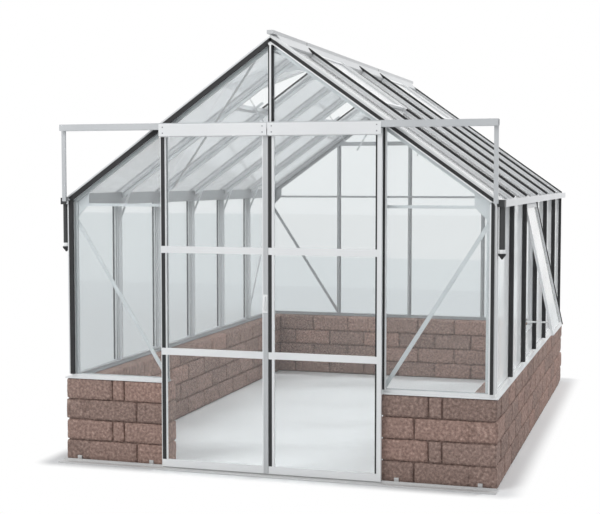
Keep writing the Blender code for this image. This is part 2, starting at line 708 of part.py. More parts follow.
# Gable bars
def gable_bar(end, x, bottom):
    """An upright glazing bar in a gable, its head cut to the slope of the rafters."""
    base = Vector((x, end * HALF_LENGTH, 0))
    reach = roof_line(x) + 0.05
    top = gable_slot(x, bottom)[2][1] - FIT
    parts = glazing_bar(lambda z: base + Vector((0, 0, z)), (0, end, 0),
                        (bottom, reach), (bottom + 0.001, top), (bottom, reach))
    for turn in (-1, 1):
        _, outward = slope_axes(turn)
        under_rafter = roof_point(turn, 0, 0, -CORNER_INSIDE - FIT)
        under_seal = roof_point(turn, 0, 0, -SEAL_INNER - FIT)
        parts[0] = trim(parts[0], under_rafter, outward)
        parts[2] = trim(parts[2], under_seal, outward)
        parts[1] = trim(parts[1], under_rafter, outward)
    return parts


def build_door_jambs():
    for side, word in ((-1, "left"), (1, "right")):
        base = Vector((side * JAMB_X, -HALF_LENGTH, 0))
        reach = roof_line(JAMB_X)
        parts = [bar(bar_inside_section(), base + Vector((0, 0, BAR_FOOT)),
                     base + Vector((0, 0, reach)), (0, -1, 0)),
                 bar(bar_cap_section(), base + Vector((0, 0, BAR_FOOT)),
                     base + Vector((0, 0, reach)), (0, -1, 0))]
        web = box((min(side * (JAMB_X - 0.008), side * (JAMB_X + 0.004)), -HALF_LENGTH - CAP_FACE - 0.001,
                   BAR_FOOT + 0.001),
                  (max(side * (JAMB_X - 0.008), side * (JAMB_X + 0.004)), -HALF_LENGTH - BAR_FACE + 0.001,
                   HEADER_Z - 0.020))
        _, outward = slope_axes(side)
        web = trim(web, roof_point(side, 0, 0, -CORNER_INSIDE - FIT), outward)
        parts[0] = trim(parts[0], roof_point(side, 0, 0, -CORNER_INSIDE - FIT), outward)
        parts[1] = trim(parts[1], roof_point(side, 0, 0, -SEAL_INNER - FIT), outward)
        add_part("door_jamb_" + word, combine(parts[0], [parts[1], web]), "white_frame",
                 origin=base + Vector((0, 0, BAR_FOOT)))


def build_door_header():
    """Header over the doors with the upright bar above it, up to the rafters."""
    centre = Vector((0, -HALF_LENGTH, HEADER_Z))
    inner_end = JAMB_X - BAR_FLANGE_HALF_WIDTH - FIT
    cap_end = JAMB_X - CAP_HALF_WIDTH - FIT
    inner = bar(bar_inside_section(), centre - Vector((inner_end, 0, 0)),
                centre + Vector((inner_end, 0, 0)), (0, -1, 0))
    cap = bar(bar_cap_section(), centre - Vector((cap_end, 0, 0)),
              centre + Vector((cap_end, 0, 0)), (0, -1, 0))
    web = box((-cap_end, -HALF_LENGTH - CAP_FACE - 0.001, HEADER_Z - 0.008),
              (cap_end, -HALF_LENGTH - BAR_FACE + 0.001, HEADER_Z + 0.004))
    for side in (-1, 1):
        _, outward = slope_axes(side)
        inner = trim(inner, roof_point(side, 0, 0, -CORNER_INSIDE - FIT), outward)
        cap = trim(cap, roof_point(side, 0, 0, -SEAL_INNER - FIT), outward)
        web = trim(web, roof_point(side, 0, 0, -CORNER_INSIDE - FIT), outward)
    upright = gable_bar(-1, 0, HEADER_Z + 0.010)
    add_part("door_header", combine(inner, [cap, web] + upright), "white_frame", origin=centre)


def build_rear_mullions():
    level = EAVE_BOTTOM + TRANSOM_HALF_HEIGHT
    face = HALF_LENGTH + BAR_FACE - TRANSOM_SETBACK
    back = HALF_LENGTH + BAR_INSIDE
    for step, word in ((-1, "left"), (0, "centre"), (1, "right")):
        parts = gable_bar(1, step * BAY, BAR_FOOT)
        if step == 0:
            reach = BAY - BAR_FLANGE_HALF_WIDTH - FIT
            parts.append(box((-reach, back, level - TRANSOM_HALF_HEIGHT),
                             (reach, face, level + TRANSOM_HALF_HEIGHT)))
            collar = box((-reach, back, HEADER_Z), (reach, face, HEADER_Z + 2 * COLLAR_HALF_HEIGHT))
            for side in (-1, 1):
                _, outward = slope_axes(side)
                collar = trim(collar, roof_point(side, 0, 0, -CORNER_INSIDE - FIT), outward)
            parts.append(collar)
        add_part("rear_mullion_" + word, combine(parts[0], parts[1:]), "white_frame",
                 origin=(step * BAY, HALF_LENGTH, BAR_FOOT))


# Eave beams with their gutters
def build_eaves():
    x0 = HALF_WIDTH
    for side, word in ((-1, "left"), (1, "right")):
        inner = x0 - CORNER_INSIDE
        top_of = lambda x: roof_line(x, -GLASS - FIT)
        lip = x0 + GUTTER_WIDTH
        back = x0 + GUTTER_BACK
        outline = [(inner, EAVE_BOTTOM), (x0 - GLASS - FIT, EAVE_BOTTOM),
                   (x0 - GLASS - FIT, GUTTER_BOTTOM + FIT), (x0 + FIT, GUTTER_BOTTOM + FIT),
                   (x0 + FIT, GUTTER_BOTTOM), (lip, GUTTER_BOTTOM), (lip, EAVE_HEIGHT),
                   (lip - 0.008, EAVE_HEIGHT), (lip - 0.008, EAVE_HEIGHT - GUTTER_WALL),
                   (lip - GUTTER_WALL, EAVE_HEIGHT - GUTTER_WALL),
                   (lip - GUTTER_WALL, GUTTER_BOTTOM + GUTTER_WALL), (back, GUTTER_BOTTOM + GUTTER_WALL),
                   (back, top_of(back)), (inner, top_of(inner))]
        wall_ = EAVE_WEB
        hole = [(inner + wall_, EAVE_BOTTOM + wall_), (x0 - GLASS - FIT - wall_, EAVE_BOTTOM + wall_),
                (x0 - GLASS - FIT - wall_, GUTTER_BOTTOM + FIT + wall_),
                (back - wall_, GUTTER_BOTTOM + FIT + wall_), (back - wall_, top_of(back) - wall_ * 1.3),
                (inner + wall_, top_of(inner + wall_) - wall_ * 1.3)]
        beam = plate([(side * x, z) for x, z in outline], 2 * FRAME_END,
                     [[(side * x, z) for x, z in hole]])
        beam = place(beam, (0, 0, 0), (1, 0, 0), (0, 0, 1))
        stop = box((min(side * (back - 0.001), side * (lip - 0.001)), FRAME_END - GUTTER_WALL,
                    GUTTER_BOTTOM + 0.001),
                   (max(side * (back - 0.001), side * (lip - 0.001)), FRAME_END, GUTTER_BOTTOM + GUTTER_STOP))
        pieces = [stop] + (window_hinge_rail() if side > 0 else [])
        add_part("eave_gutter_" + word, combine(beam, pieces), "aluminium",
                 origin=(side * x0, 0, EAVE_BOTTOM))


def window_hinge_rail():
    """Rail under the right gutter that closes over the hinge bead of the window."""
    low, high = station(WINDOW_BAY - 1), station(WINDOW_BAY)
    inset = CAP_HALF_WIDTH + LIGHT_SIDE_GAP
    centre = HALF_WIDTH + HINGE_OUT
    inner = HALF_WIDTH + FIT
    over = WINDOW_HINGE_Z + LIGHT_BEAD_RADIUS + FIT
    top = box((inner, low + inset, over), (centre + LIGHT_BEAD_RADIUS, high - inset, GUTTER_BOTTOM + 0.001))
    back = box((inner, low + inset, WINDOW_HINGE_Z - HINGE_SEAT_WALL),
               (centre - LIGHT_BEAD_RADIUS - FIT, high - inset, over + 0.001))
    return [top, back]


def build_downpipes():
    for side, word in ((-1, "left"), (1, "right")):
        x = side * (HALF_WIDTH + VERGE_HEIGHT + 0.001 + CONE_RADIUS)
        y = -(FRAME_END + 0.001 + PIPE_RADIUS + 0.010)
        head = box((min(side * (HALF_WIDTH + VERGE_HEIGHT + FIT), side * (HALF_WIDTH + GUTTER_WIDTH + 0.004)),
                    -HALF_LENGTH - SEAL_HEIGHT, GUTTER_BOTTOM + 0.001),
                   (max(side * (HALF_WIDTH + VERGE_HEIGHT + FIT), side * (HALF_WIDTH + GUTTER_WIDTH + 0.004)),
                    -FRAME_END - FIT, GUTTER_BOTTOM + 0.001 + PIPE_HEAD_HEIGHT))
        top = GUTTER_BOTTOM + 0.010
        end = top - 0.010 - PIPE_DROP
        tip = end - RING_HEIGHT
        profile = [(0, top), (PIPE_RADIUS, top), (PIPE_RADIUS, end), (RING_RADIUS, end),
                   (RING_RADIUS, tip), (CONE_RADIUS, tip), (CONE_RADIUS, tip - 0.008),
                   (CONE_RADIUS * 0.35, tip - CONE_HEIGHT + 0.006), (0, tip - CONE_HEIGHT)]
        pipe = turned(profile)
        pipe.transform(Matrix.Translation((x, y, 0)))
        add_part("downpipe_" + word, combine(head, [pipe]), "plastic", origin=(x, y, top), smooth=True)


def turned(profile, sides=24, hollow=False):
    """A profile of (radius, height) points spun about Z with a Screw modifier."""
    mesh = bpy.data.meshes.new("profile")
    edges = [(i, i + 1) for i in range(len(profile) - 1)]
    if hollow:
        edges.append((len(profile) - 1, 0))
    mesh.from_pydata([(r, 0, z) for r, z in profile], edges, [])
    item = temporary(mesh)
    spin = item.modifiers.new("spin", "SCREW")
    spin.steps = sides
    spin.render_steps = sides
    spin.use_merge_vertices = True
    spin.merge_threshold = 0.00001
    return tidy(evaluated_mesh(item))


def build_ridge():
    half = RIDGE_CAP_HALF_WIDTH
    shoulder = RIDGE_HEIGHT + VERGE_HEIGHT / math.cos(PITCH) + FIT + 0.0005
    inner = RIDGE_FLANK * RIDGE_TAPER
    reach = RIDGE_GLASS_REACH
    seat = HINGE_OUT - LIGHT_BEAD_RADIUS - FIT
    back = HINGE_DOWN - LIGHT_BEAD_RADIUS - FIT
    seat_line = ((back - HINGE_SEAT_WALL, HINGE_OUT), (back, HINGE_OUT), (back, seat),
                 (HINGE_DOWN + HINGE_SEAT_WALL, seat), (HINGE_DOWN + HINGE_SEAT_WALL, FIT))
    seat_points = [roof_point(1, 0, down, outward) for down, outward in seat_line]
    right = [(half, shoulder)] + [(point.x, point.z) for point in seat_points] + [
             (reach, roof_line(reach, FIT)), (reach, roof_line(reach, -GLASS - FIT)),
             (inner, roof_line(inner, -GLASS - FIT)),
             (inner, roof_line(inner, BAR_INSIDE + 0.014)),
             (0.014, RIDGE_HEIGHT - RIDGE_DEPTH)]
    body = plate(right + [(-x, z) for x, z in reversed(right)], 2 * FRAME_END)
    body = place(body, (0, 0, 0), (1, 0, 0), (0, 0, 1))
    cap = box((-half, -HALF_LENGTH - RIDGE_OVERHANG, shoulder - 0.0005),
              (half, HALF_LENGTH + RIDGE_OVERHANG, RIDGE_HEIGHT + RIDGE_CAP_HEIGHT))
    add_part("ridge", combine(body, [cap]), "aluminium", origin=(0, 0, RIDGE_HEIGHT))


# Glass sheets. The panes of one face hang together only where the frame hides it
def notched_sheet(low, high, foot, head, slot_foot, slot_head, open_bays):
    """Outline and slots of a face of glass along the house.

    Every rib has a slot. Open bays maps a bay to the level that its pane stops at.
    """
    outline = [(low, foot), (high, foot), (high, head)]
    holes = []
    number = BAYS_ALONG - 1
    while number >= 1:
        y = station(number)
        left, right = y - SLOT_HALF_WIDTH, y + SLOT_HALF_WIDTH
        bay_before, bay_after = open_bays.get(number), open_bays.get(number + 1)
        if bay_before is None and bay_after is None:
            holes.append(rectangle(left, right, slot_foot, slot_head))
        else:
            after = bay_after if bay_after is not None else head
            before = bay_before if bay_before is not None else head
            outline += [(right, after), (right, slot_foot), (left, slot_foot), (left, before)]
        number -= 1
    outline.append((low, head))
    return outline, holes


def build_wall_glass():
    foot, head = GLASS_FOOT, GUTTER_BOTTOM
    slot_foot, slot_head = SILL_TOP + FIT, EAVE_BOTTOM
    window_level = WINDOW_FOOT + LIGHT_TRANSOM_SETBACK - LIGHT_TRANSOM_WEB - FIT
    for side, word in ((-1, "left"), (1, "right")):
        open_bays = {WINDOW_BAY: window_level} if side > 0 else {}
        outline, holes = notched_sheet(-GLASS_END, GLASS_END, foot, head, slot_foot, slot_head, open_bays)
        mesh = place(plate(outline, GLASS, holes), (side * (HALF_WIDTH - GLASS / 2), 0, 0),
                     (0, 1, 0), (0, 0, 1))
        add_part("wall_glass_" + word, mesh, "glass", origin=(side * HALF_WIDTH, 0, foot))


def build_roof_glass():
    foot = -SLOPE - DRIP_REACH / math.cos(PITCH)
    head = -(RIDGE_GLASS_REACH + GLASS * math.sin(PITCH) + FIT) / math.cos(PITCH)
    slot_foot = -SLOPE + 0.004
    slot_head = -(RIDGE_FLANK + 0.0005) / math.cos(PITCH)
    level = -(VENT_FOOT - LIGHT_TRANSOM_SETBACK - LIGHT_TRANSOM + LIGHT_TRANSOM_WEB + FIT)
    for side, word in ((-1, "left"), (1, "right")):
        open_bays = {bay: level for bay in VENT_BAYS}
        outline, holes = notched_sheet(-GLASS_END, GLASS_END, foot, head, slot_foot, slot_head, open_bays)
        down, outward = slope_axes(side)
        centre = roof_point(side, 0, 0, -GLASS / 2)
        mesh = place(plate(outline, GLASS, holes), centre, (0, 1, 0), -down)
        add_part("roof_glass_" + word, mesh, "glass", origin=roof_point(side, 0, SLOPE / 2, 0))


def gable_slot(x, bottom):
    """Slot for an upright gable bar, its head square and clear of the rafters."""
    top = roof_line(abs(x) + SLOT_HALF_WIDTH, -CORNER_INSIDE + FIT)
    return rectangle(x - SLOT_HALF_WIDTH, x + SLOT_HALF_WIDTH, bottom, top)


def build_gable_glass():
    edge = HALF_WIDTH - CORNER_POCKET - FIT
    rake = -CORNER_POCKET - FIT
    roof = [(edge, roof_line(edge, rake)), (0, roof_line(0, rake)), (-edge, roof_line(edge, rake))]
    door_x = JAMB_X + 0.004 + FIT
    door_z = HEADER_Z + 0.004 + FIT
    front = [(-edge, GLASS_FOOT), (-door_x, GLASS_FOOT), (-door_x, door_z), (door_x, door_z),
             (door_x, GLASS_FOOT), (edge, GLASS_FOOT)] + roof
    rear = [(-edge, GLASS_FOOT), (edge, GLASS_FOOT)] + roof
    faces = (("front", -1, front, [gable_slot(0, HEADER_Z + 0.0105)]),
             ("rear", 1, rear, [gable_slot(step * BAY, SILL_TOP + FIT) for step in (-1, 0, 1)]))
    for word, end, outline, holes in faces:
        mesh = place(plate(outline, GLASS, holes), (0, end * (HALF_LENGTH - GLASS / 2), 0),
                     (1, 0, 0), (0, 0, 1))
        add_part(word + "_gable_glass", mesh, "glass", origin=(0, end * HALF_LENGTH, GLASS_FOOT))


# Diagonal braces: flat bars screwed on behind the glass, each fixed to one frame
def flat_brace(start, end, outward, trims):
    """A flat bar whose ends are cut to the posts that they meet."""
    start, end = Vector(start), Vector(end)
    along = (end - start).normalized() * 0.06
    section = rectangle(-BRACE_WIDTH / 2, BRACE_WIDTH / 2, -BRACE_THICKNESS, 0)
    mesh = bar(section, start - along, end + along, outward)
    for point, normal in trims:
        mesh = trim(mesh, point, normal)
    return mesh


def gable_brace(end, side, foot):
    """Brace of a gable bay, from the foot of the next bar to the top of the corner post."""
    low, high = BAR_FOOT + BRACE_FOOT, EAVE_BOTTOM - BRACE_HEAD
    y = end * (HALF_LENGTH + BRACE_FACE)
    head_x = side * (HALF_WIDTH - CORNER_INSIDE + LAP)
    foot_x = side * (foot + BAR_FLANGE_HALF_WIDTH + FIT)
    return flat_brace((foot_x, y, low), (head_x, y, high), (0, end, 0),
                      (((foot_x, 0, 0), (-side, 0, 0)), ((head_x, 0, 0), (side, 0, 0))))


def wall_brace(side):
    """Brace of the rearmost wall bay, drawn from its rib at y = 0 to the rear corner."""
    low, high = BAR_FOOT + BRACE_FOOT, EAVE_BOTTOM - BRACE_HEAD
    x = side * (HALF_WIDTH + BRACE_FACE)
    reach = FRAME_END - station(BAYS_ALONG - 1)
    return flat_brace((x, 0, low), (x, reach, high), (side, 0, 0),
                      (((0, 0, 0), (0, -1, 0)), ((0, reach, 0), (0, 1, 0))))


def build_roof_brace():
    under = BAR_INSIDE - FIT
    knee_y = station(ROOF_BRACE_STATION) - KNEE_THICKNESS / 2 - BRACE_KNEE_GAP
    front_y = -(HALF_LENGTH - CORNER_FLANGE - FIT)
    start = roof_point(-1, knee_y, SLOPE - ROOF_BRACE_FOOT, under)
    mesh = flat_brace(start, roof_point(-1, front_y, ROOF_BRACE_HEAD, under), slope_axes(-1)[1],
                      (((0, knee_y, 0), (0, 1, 0)), ((0, front_y, 0), (0, -1, 0))))
    add_part("roof_brace_left", mesh, "aluminium", origin=start)


# Door track with its end struts, and the ground rail
def build_door_track():
    back = HALF_LENGTH + TRACK_BACK_GAP
    front = HALF_LENGTH + TRACK_FRONT
    rail_front = HALF_LENGTH + LEAF_INNER + 0.0145
    outline = [(back, TRACK_BOTTOM), (rail_front, TRACK_BOTTOM + RAIL_HEIGHT - TRACK_WALL),
               (rail_front, TRACK_BOTTOM + RAIL_HEIGHT), (back + TRACK_WALL, TRACK_BOTTOM + RAIL_HEIGHT),
               (back + TRACK_WALL, TRACK_TOP - TRACK_WALL), (front - TRACK_WALL, TRACK_TOP - TRACK_WALL),
               (front - TRACK_WALL, TRACK_BOTTOM), (front, TRACK_BOTTOM), (front, TRACK_TOP),
               (back, TRACK_TOP)]
    channel = plate([(-y, z) for y, z in outline], 2 * TRACK_END)
    channel = place(channel, (0, 0, 0), (0, 1, 0), (0, 0, 1))
    pieces = []
    middle = HALF_LENGTH + LEAF_OUTER - LEAF_THICKNESS / 2
    foot = EAVE_HEIGHT - STRUT_DROP
    for side in (-1, 1):
        xs = sorted((side * TRACK_END, side * (TRACK_END - STRUT_WIDTH)))
        pieces.append(box((xs[0], -middle - STRUT_THICKNESS / 2, foot),
                          (xs[1], -middle + STRUT_THICKNESS / 2, TRACK_TOP - 0.001)))
        pieces.append(box((xs[0], -middle - 0.001, foot),
                          (xs[1], -HALF_LENGTH - SEAL_HEIGHT - FIT, foot + STRUT_FOOT)))
    for x in (-JAMB_X, -BAY / 3, BAY / 3, JAMB_X):
        pieces.append(box((x - 0.016, -back - 0.001, HEADER_Z - 0.004),
                          (x + 0.016, -HALF_LENGTH - CAP_TOP - FIT, HEADER_Z + 0.010)))
    add_part("door_track", combine(channel, pieces), "aluminium", origin=(0, -back, TRACK_BOTTOM))


def build_ground_rail():
    near = MASONRY_Y + FIT
    far = near + RAIL_DEPTH
    reach = MASONRY_X + 0.010
    guide = HALF_LENGTH + LEAF_INNER + LEAF_THICKNESS / 2
    base = box((-reach, -far, 0), (reach, -near, RAIL_PLATE))
    pieces = [box((-reach, -guide - GUIDE_WIDTH / 2, RAIL_PLATE - 0.001),
                  (reach, -guide + GUIDE_WIDTH / 2, GUIDE_HEIGHT))]
    pieces.append(box((-reach, -far, RAIL_PLATE - 0.001), (reach, -far + 0.004, RAIL_PLATE + 0.005)))
    for side in (-1, 1):
        for x in CLIP_PLACES:
            pieces.append(box((side * x - CLIP_WIDTH / 2, -near - LEAF_STANDOFF + 0.004, RAIL_PLATE - 0.001),
                              (side * x + CLIP_WIDTH / 2, -near, CLIP_HEIGHT)))
    add_part("ground_rail", combine(base, pieces), "white_frame", origin=(0, -near, 0))


# Sliding doors
def leaf_span(side):
    """Left and right edge of a closed leaf."""
    near, far = LEAF_MEETING_GAP / 2, LEAF_MEETING_GAP / 2 + LEAF_WIDTH
    return (near, far) if side > 0 else (-far, -near)


def roller_places(side):
    left, right = leaf_span(side)
    return left + ROLLER_INSET, right - ROLLER_INSET


def build_door(side, word):
    left, right = leaf_span(side)
    levels = [LEAF_GROUND_GAP, LEAF_GROUND_GAP + BOTTOM_RAIL]
    for height in MID_RAIL_HEIGHTS:
        levels += [LEAF_GROUND_GAP + height - MID_RAIL / 2, LEAF_GROUND_GAP + height + MID_RAIL / 2]
    levels += [LEAF_TOP - TOP_RAIL, LEAF_TOP]
    lights = [rectangle(left + STILE_WIDTH, right - STILE_WIDTH, levels[i], levels[i + 1])
              for i in (1, 3, 5)]
    outer_y = HALF_LENGTH + LEAF_OUTER
    inner_y = HALF_LENGTH + LEAF_INNER
    rebate_y = inner_y + REBATE_DEPTH
    full = rectangle(left, right, LEAF_GROUND_GAP, LEAF_TOP)
    pocket = rectangle(left + STILE_WIDTH - GLASS_REBATE, right - STILE_WIDTH + GLASS_REBATE,
                       levels[1] - GLASS_REBATE, levels[-2] + GLASS_REBATE)
    front = place(plate(full, outer_y - rebate_y, lights),
                  (0, -(outer_y + rebate_y) / 2, 0), (1, 0, 0), (0, 0, 1))
    rear = place(plate(full, rebate_y + 0.0005 - inner_y, [pocket]),
                 (0, -(rebate_y + 0.0005 + inner_y) / 2, 0), (1, 0, 0), (0, 0, 1))
    plate_y = HALF_LENGTH + LEAF_INNER + 0.015
    pieces = [rear]
    for x in roller_places(side):
        pieces.append(box((x - HANGER_WIDTH / 2, -plate_y - 0.004, LEAF_TOP - 0.010),
                          (x + HANGER_WIDTH / 2, -plate_y, ROLLER_Z + 0.009)))
        pieces.append(cylinder(AXLE_RADIUS, (x, -plate_y - 0.001, ROLLER_Z),
                               (x, -plate_y + ROLLER_WIDTH + 0.003, ROLLER_Z), 16))
    mesh = combine(front, pieces)
    guide = HALF_LENGTH + LEAF_INNER + LEAF_THICKNESS / 2
    groove_half = GUIDE_WIDTH / 2 + GROOVE_CLEARANCE
    groove = box((left - 0.01, -guide - groove_half, LEAF_GROUND_GAP - 0.01),
                 (right + 0.01, -guide + groove_half, GUIDE_HEIGHT + GROOVE_CLEARANCE))
    mesh = combine(mesh, [groove], "DIFFERENCE")
    middle = Vector(((left + right) / 2, -inner_y, LEAF_GROUND_GAP))
    add_part("door_frame_" + word, mesh, "aluminium", origin=middle)
    gap = 0.0005
    pane = rectangle(pocket[0][0] + gap, pocket[1][0] - gap, pocket[0][1] + gap, pocket[2][1] - gap)
    glass_y = rebate_y - FIT - GLASS / 2
    mesh = place(plate(pane, GLASS), (0, -glass_y, 0), (1, 0, 0), (0, 0, 1))
    add_part("door_glass_" + word, mesh, "glass", origin=middle)
    for x, place_word in zip(roller_places(side), ("left", "right")):
        add_roller("roller_%s_%s" % (word, place_word), x, plate_y)


def add_roller(name, x, plate_y):
    """A grooved nylon wheel that runs on the lip of the track."""
    bore = AXLE_RADIUS + FIT
    half = ROLLER_WIDTH / 2
    profile = [(bore, half), (ROLLER_RADIUS - 0.002, half), (ROLLER_RADIUS, half - 0.0015),
               (ROLLER_RADIUS, -half + 0.0015), (ROLLER_RADIUS - 0.002, -half), (bore, -half)]
    mesh = turned(profile, 20, hollow=True)
    mesh.transform(Matrix.Rotation(math.pi / 2, 4, "X"))
    centre = (x, -plate_y + 0.0005 + FIT + half, ROLLER_Z)
    add_part(name, mesh, "nylon", origin=centre, turn=(0, 0, 0), smooth=True)


def build_handle():
    """A back plate on the closing stile of the left leaf with a bowed grip."""
    centre_x = leaf_span(-1)[1] - STILE_WIDTH / 2
    face = HALF_LENGTH + LEAF_OUTER + FIT
    low, high = HANDLE_CENTRE - HANDLE_HEIGHT / 2, HANDLE_CENTRE + HANDLE_HEIGHT / 2
    back = box((centre_x - HANDLE_WIDTH / 2, -face - HANDLE_PLATE, low),
               (centre_x + HANDLE_WIDTH / 2, -face, high))
    curve = bpy.data.curves.new("grip", "CURVE")
    curve.dimensions = "3D"
    curve.bevel_depth = GRIP_RADIUS
    curve.bevel_resolution = 2
    curve.use_fill_caps = True
    spline = curve.splines.new("POLY")
    steps = 8
    spline.points.add(steps)
    for index, point in enumerate(spline.points):
        angle = math.pi * index / steps
        z = HANDLE_CENTRE - math.cos(angle) * HANDLE_HEIGHT * 0.36
        y = -face - HANDLE_PLATE + 0.002 - math.sin(angle) * GRIP_DEPTH
        point.co = (centre_x, y, z, 1)
    grip = tidy(evaluated_mesh(temporary(curve)))
    add_part("door_handle", combine(back, [grip]), "white_frame",
             origin=(centre_x, -face, HANDLE_CENTRE), smooth=True)


# Roof vents and the side window: a framed pane on a hinge bead, and its stay
def light_mesh(length):
    """A hinged light drawn from its hinge: X down the pane, Y across, Z outwards."""
    width = BAY - 2 * (CAP_HALF_WIDTH + LIGHT_SIDE_GAP)
    half = width / 2
    start = 0.003
    bottom = -LIGHT_THICKNESS / 2
    outline = rectangle(start, length, -half, half)
    sight = rectangle(start + LIGHT_RAIL, length - LIGHT_RAIL, -half + LIGHT_RAIL, half - LIGHT_RAIL)
    groove = light_groove(length, 0)
    frame = plate(outline, GLASS + 4 * FIT, [groove])
    layers = []
    for face in (-1, 1):
        skin = LIGHT_THICKNESS / 2 - GLASS / 2 - FIT
        layer = plate(outline, skin, [sight])
        layer.transform(Matrix.Translation((0, 0, face * (LIGHT_THICKNESS - skin) / 2)))
        layers.append(layer)
    bead = cylinder(LIGHT_BEAD_RADIUS, (0, -half, 0), (0, half, 0), 16)
    pivot_x = length - STAY_PIVOT_INSET
    ear = STAY_THICKNESS / 2 + FIT
    bracket = box((pivot_x - STAY_LUG / 2, -0.010, bottom - 0.0025),
                  (length - LIGHT_RAIL / 2, 0.010, bottom + 0.0005))
    lug = box((pivot_x - STAY_LUG / 2, ear, -STAY_PIVOT_DROP - STAY_LUG / 2),
              (pivot_x + STAY_LUG / 2, ear + 0.003, bottom - 0.001))
    pin = cylinder(STAY_PIN_RADIUS, (pivot_x, -ear - 0.001, -STAY_PIVOT_DROP),
                   (pivot_x, ear + 0.001, -STAY_PIVOT_DROP), 12)
    return combine(frame, layers + [bead, bracket, lug, pin])


def light_groove(length, clearance):
    """Outline of the groove that holds the pane, or of the pane with a clearance."""
    inset = LIGHT_RAIL / 2 + clearance
    half = BAY / 2 - CAP_HALF_WIDTH - LIGHT_SIDE_GAP - inset
    return rectangle(0.003 + inset, length - inset, -half, half)


def stay_mesh(length):
    """A flat stay with a round head on its pivot and a row of peg holes."""
    half = STAY_WIDTH / 2
    turn = [math.pi / 2 + math.pi * step / 8 for step in range(9)]
    head = [(half * math.cos(angle), half * math.sin(angle)) for angle in turn]
    outline = head + [(length - half, -half), (length, -half / 2), (length, half / 2), (length - half, half)]
    pitch = (length - 0.08) / STAY_HOLES
    holes = [circle(0, 0, STAY_HOLE_RADIUS, 12)]
    holes += [circle(0.06 + pitch * (number + 0.5), 0, STAY_HOLE_RADIUS, 8) for number in range(STAY_HOLES)]
    mesh = plate(outline, STAY_THICKNESS, holes)
    mesh.transform(Matrix.Rotation(math.pi / 2, 4, "X"))
    return mesh


def add_light(name, mesh, stay, pivot, tilt, opened, side, stay_tilt, length):
    """Place a hinged light on its hinge line and its stay on the light's pin."""
    spin = 0 if side > 0 else math.pi
    turn = (0, tilt - opened, spin)
    add_part(name, mesh, "aluminium", origin=pivot, turn=turn)
    pane = plate(light_groove(length, FIT), GLASS)
    add_part(name + "_glass", pane, "glass", origin=pivot, turn=turn)
    angle = tilt - opened
    pin = Vector((length - STAY_PIVOT_INSET, 0, -STAY_PIVOT_DROP))
    pin.rotate(Matrix.Rotation(angle, 3, "Y"))
    pin.rotate(Matrix.Rotation(spin, 3, "Z"))
    add_part(name + "_stay", stay, "aluminium", origin=Vector(pivot) + pin, turn=(0, stay_tilt, spin))


def build_lights():
    vent_length = VENT_FOOT - HINGE_DOWN
    vent = light_mesh(vent_length)
    vent_stay = stay_mesh(VENT_STAY_LENGTH)
    for side, word, opened in ((-1, "left", VENT_OPEN), (1, "right", 0)):
        for bay, place_word in zip(VENT_BAYS, ("front", "rear")):
            y = station(bay) - BAY / 2
            add_light("vent_%s_%s" % (word, place_word), vent, vent_stay,
                      roof_point(side, y, HINGE_DOWN, HINGE_OUT), PITCH, opened, side,
                      PITCH + math.pi / 2 - STAY_LEAN, vent_length)
    add_light("window", light_mesh(WINDOW_LENGTH), stay_mesh(WINDOW_STAY_LENGTH),
              Vector((HALF_WIDTH + HINGE_OUT, station(WINDOW_BAY) - BAY / 2, WINDOW_HINGE_Z)),
              math.pi / 2, WINDOW_OPEN, 1, math.pi, WINDOW_LENGTH)


clear_scene()
PARTS = bpy.data.collections.new("greenhouse")
bpy.context.scene.collection.children.link(PARTS)
HOUSE = bpy.data.objects.new("house", None)
HOUSE.location = (0, HOUSE_Y, 0)
PARTS.objects.link(HOUSE)

build_dwarf_wall()
build_ground_rail()
build_sill()
for gable_end in (-1, 1):
    for house_side in (-1, 1):
        build_gable_frame(gable_end, house_side)
for rib_number in range(1, BAYS_ALONG):
    build_rib(rib_number)
build_door_jambs()
build_door_header()
build_rear_mullions()
build_eaves()
build_downpipes()
build_ridge()
build_wall_glass()
build_roof_glass()
build_gable_glass()
build_roof_brace()
build_door_track()
build_door(-1, "left")
build_door(1, "right")
build_handle()
build_lights()
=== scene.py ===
import math

import bmesh
import bpy
from mathutils import Matrix, Vector


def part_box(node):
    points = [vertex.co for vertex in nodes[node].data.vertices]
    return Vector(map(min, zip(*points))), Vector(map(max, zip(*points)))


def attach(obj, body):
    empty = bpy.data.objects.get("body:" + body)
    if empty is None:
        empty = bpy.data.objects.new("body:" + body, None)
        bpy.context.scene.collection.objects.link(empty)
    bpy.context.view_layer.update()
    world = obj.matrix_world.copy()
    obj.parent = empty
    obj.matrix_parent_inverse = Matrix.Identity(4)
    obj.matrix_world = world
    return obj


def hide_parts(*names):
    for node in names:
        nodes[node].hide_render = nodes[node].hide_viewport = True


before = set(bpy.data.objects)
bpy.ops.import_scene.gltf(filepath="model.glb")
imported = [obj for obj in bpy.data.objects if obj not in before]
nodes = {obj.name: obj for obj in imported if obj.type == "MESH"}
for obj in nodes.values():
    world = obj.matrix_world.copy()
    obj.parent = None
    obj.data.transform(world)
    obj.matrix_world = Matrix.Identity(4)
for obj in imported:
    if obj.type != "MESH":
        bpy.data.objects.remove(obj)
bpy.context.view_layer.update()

house_y = 2.330

# The view and the light. A studio of soft white light: a white surround, one wide lamp
# high in front on the left, and a second one behind on the right that throws the shadow
# of the glazing bars on the floor.
camera_data = bpy.data.cameras.new("camera")
camera_data.lens = 74.42
camera_data.sensor_width = 36.0
camera_data.clip_end = 200.0
camera = bpy.data.objects.new("camera", camera_data)
camera.location = (2.6016, -10.1316 + house_y, 1.9888)
camera.rotation_euler = (math.radians(86.415), 0.0, math.radians(16.932))
bpy.context.scene.collection.objects.link(camera)
bpy.context.scene.camera = camera
bpy.context.scene.view_settings.view_transform = "Standard"


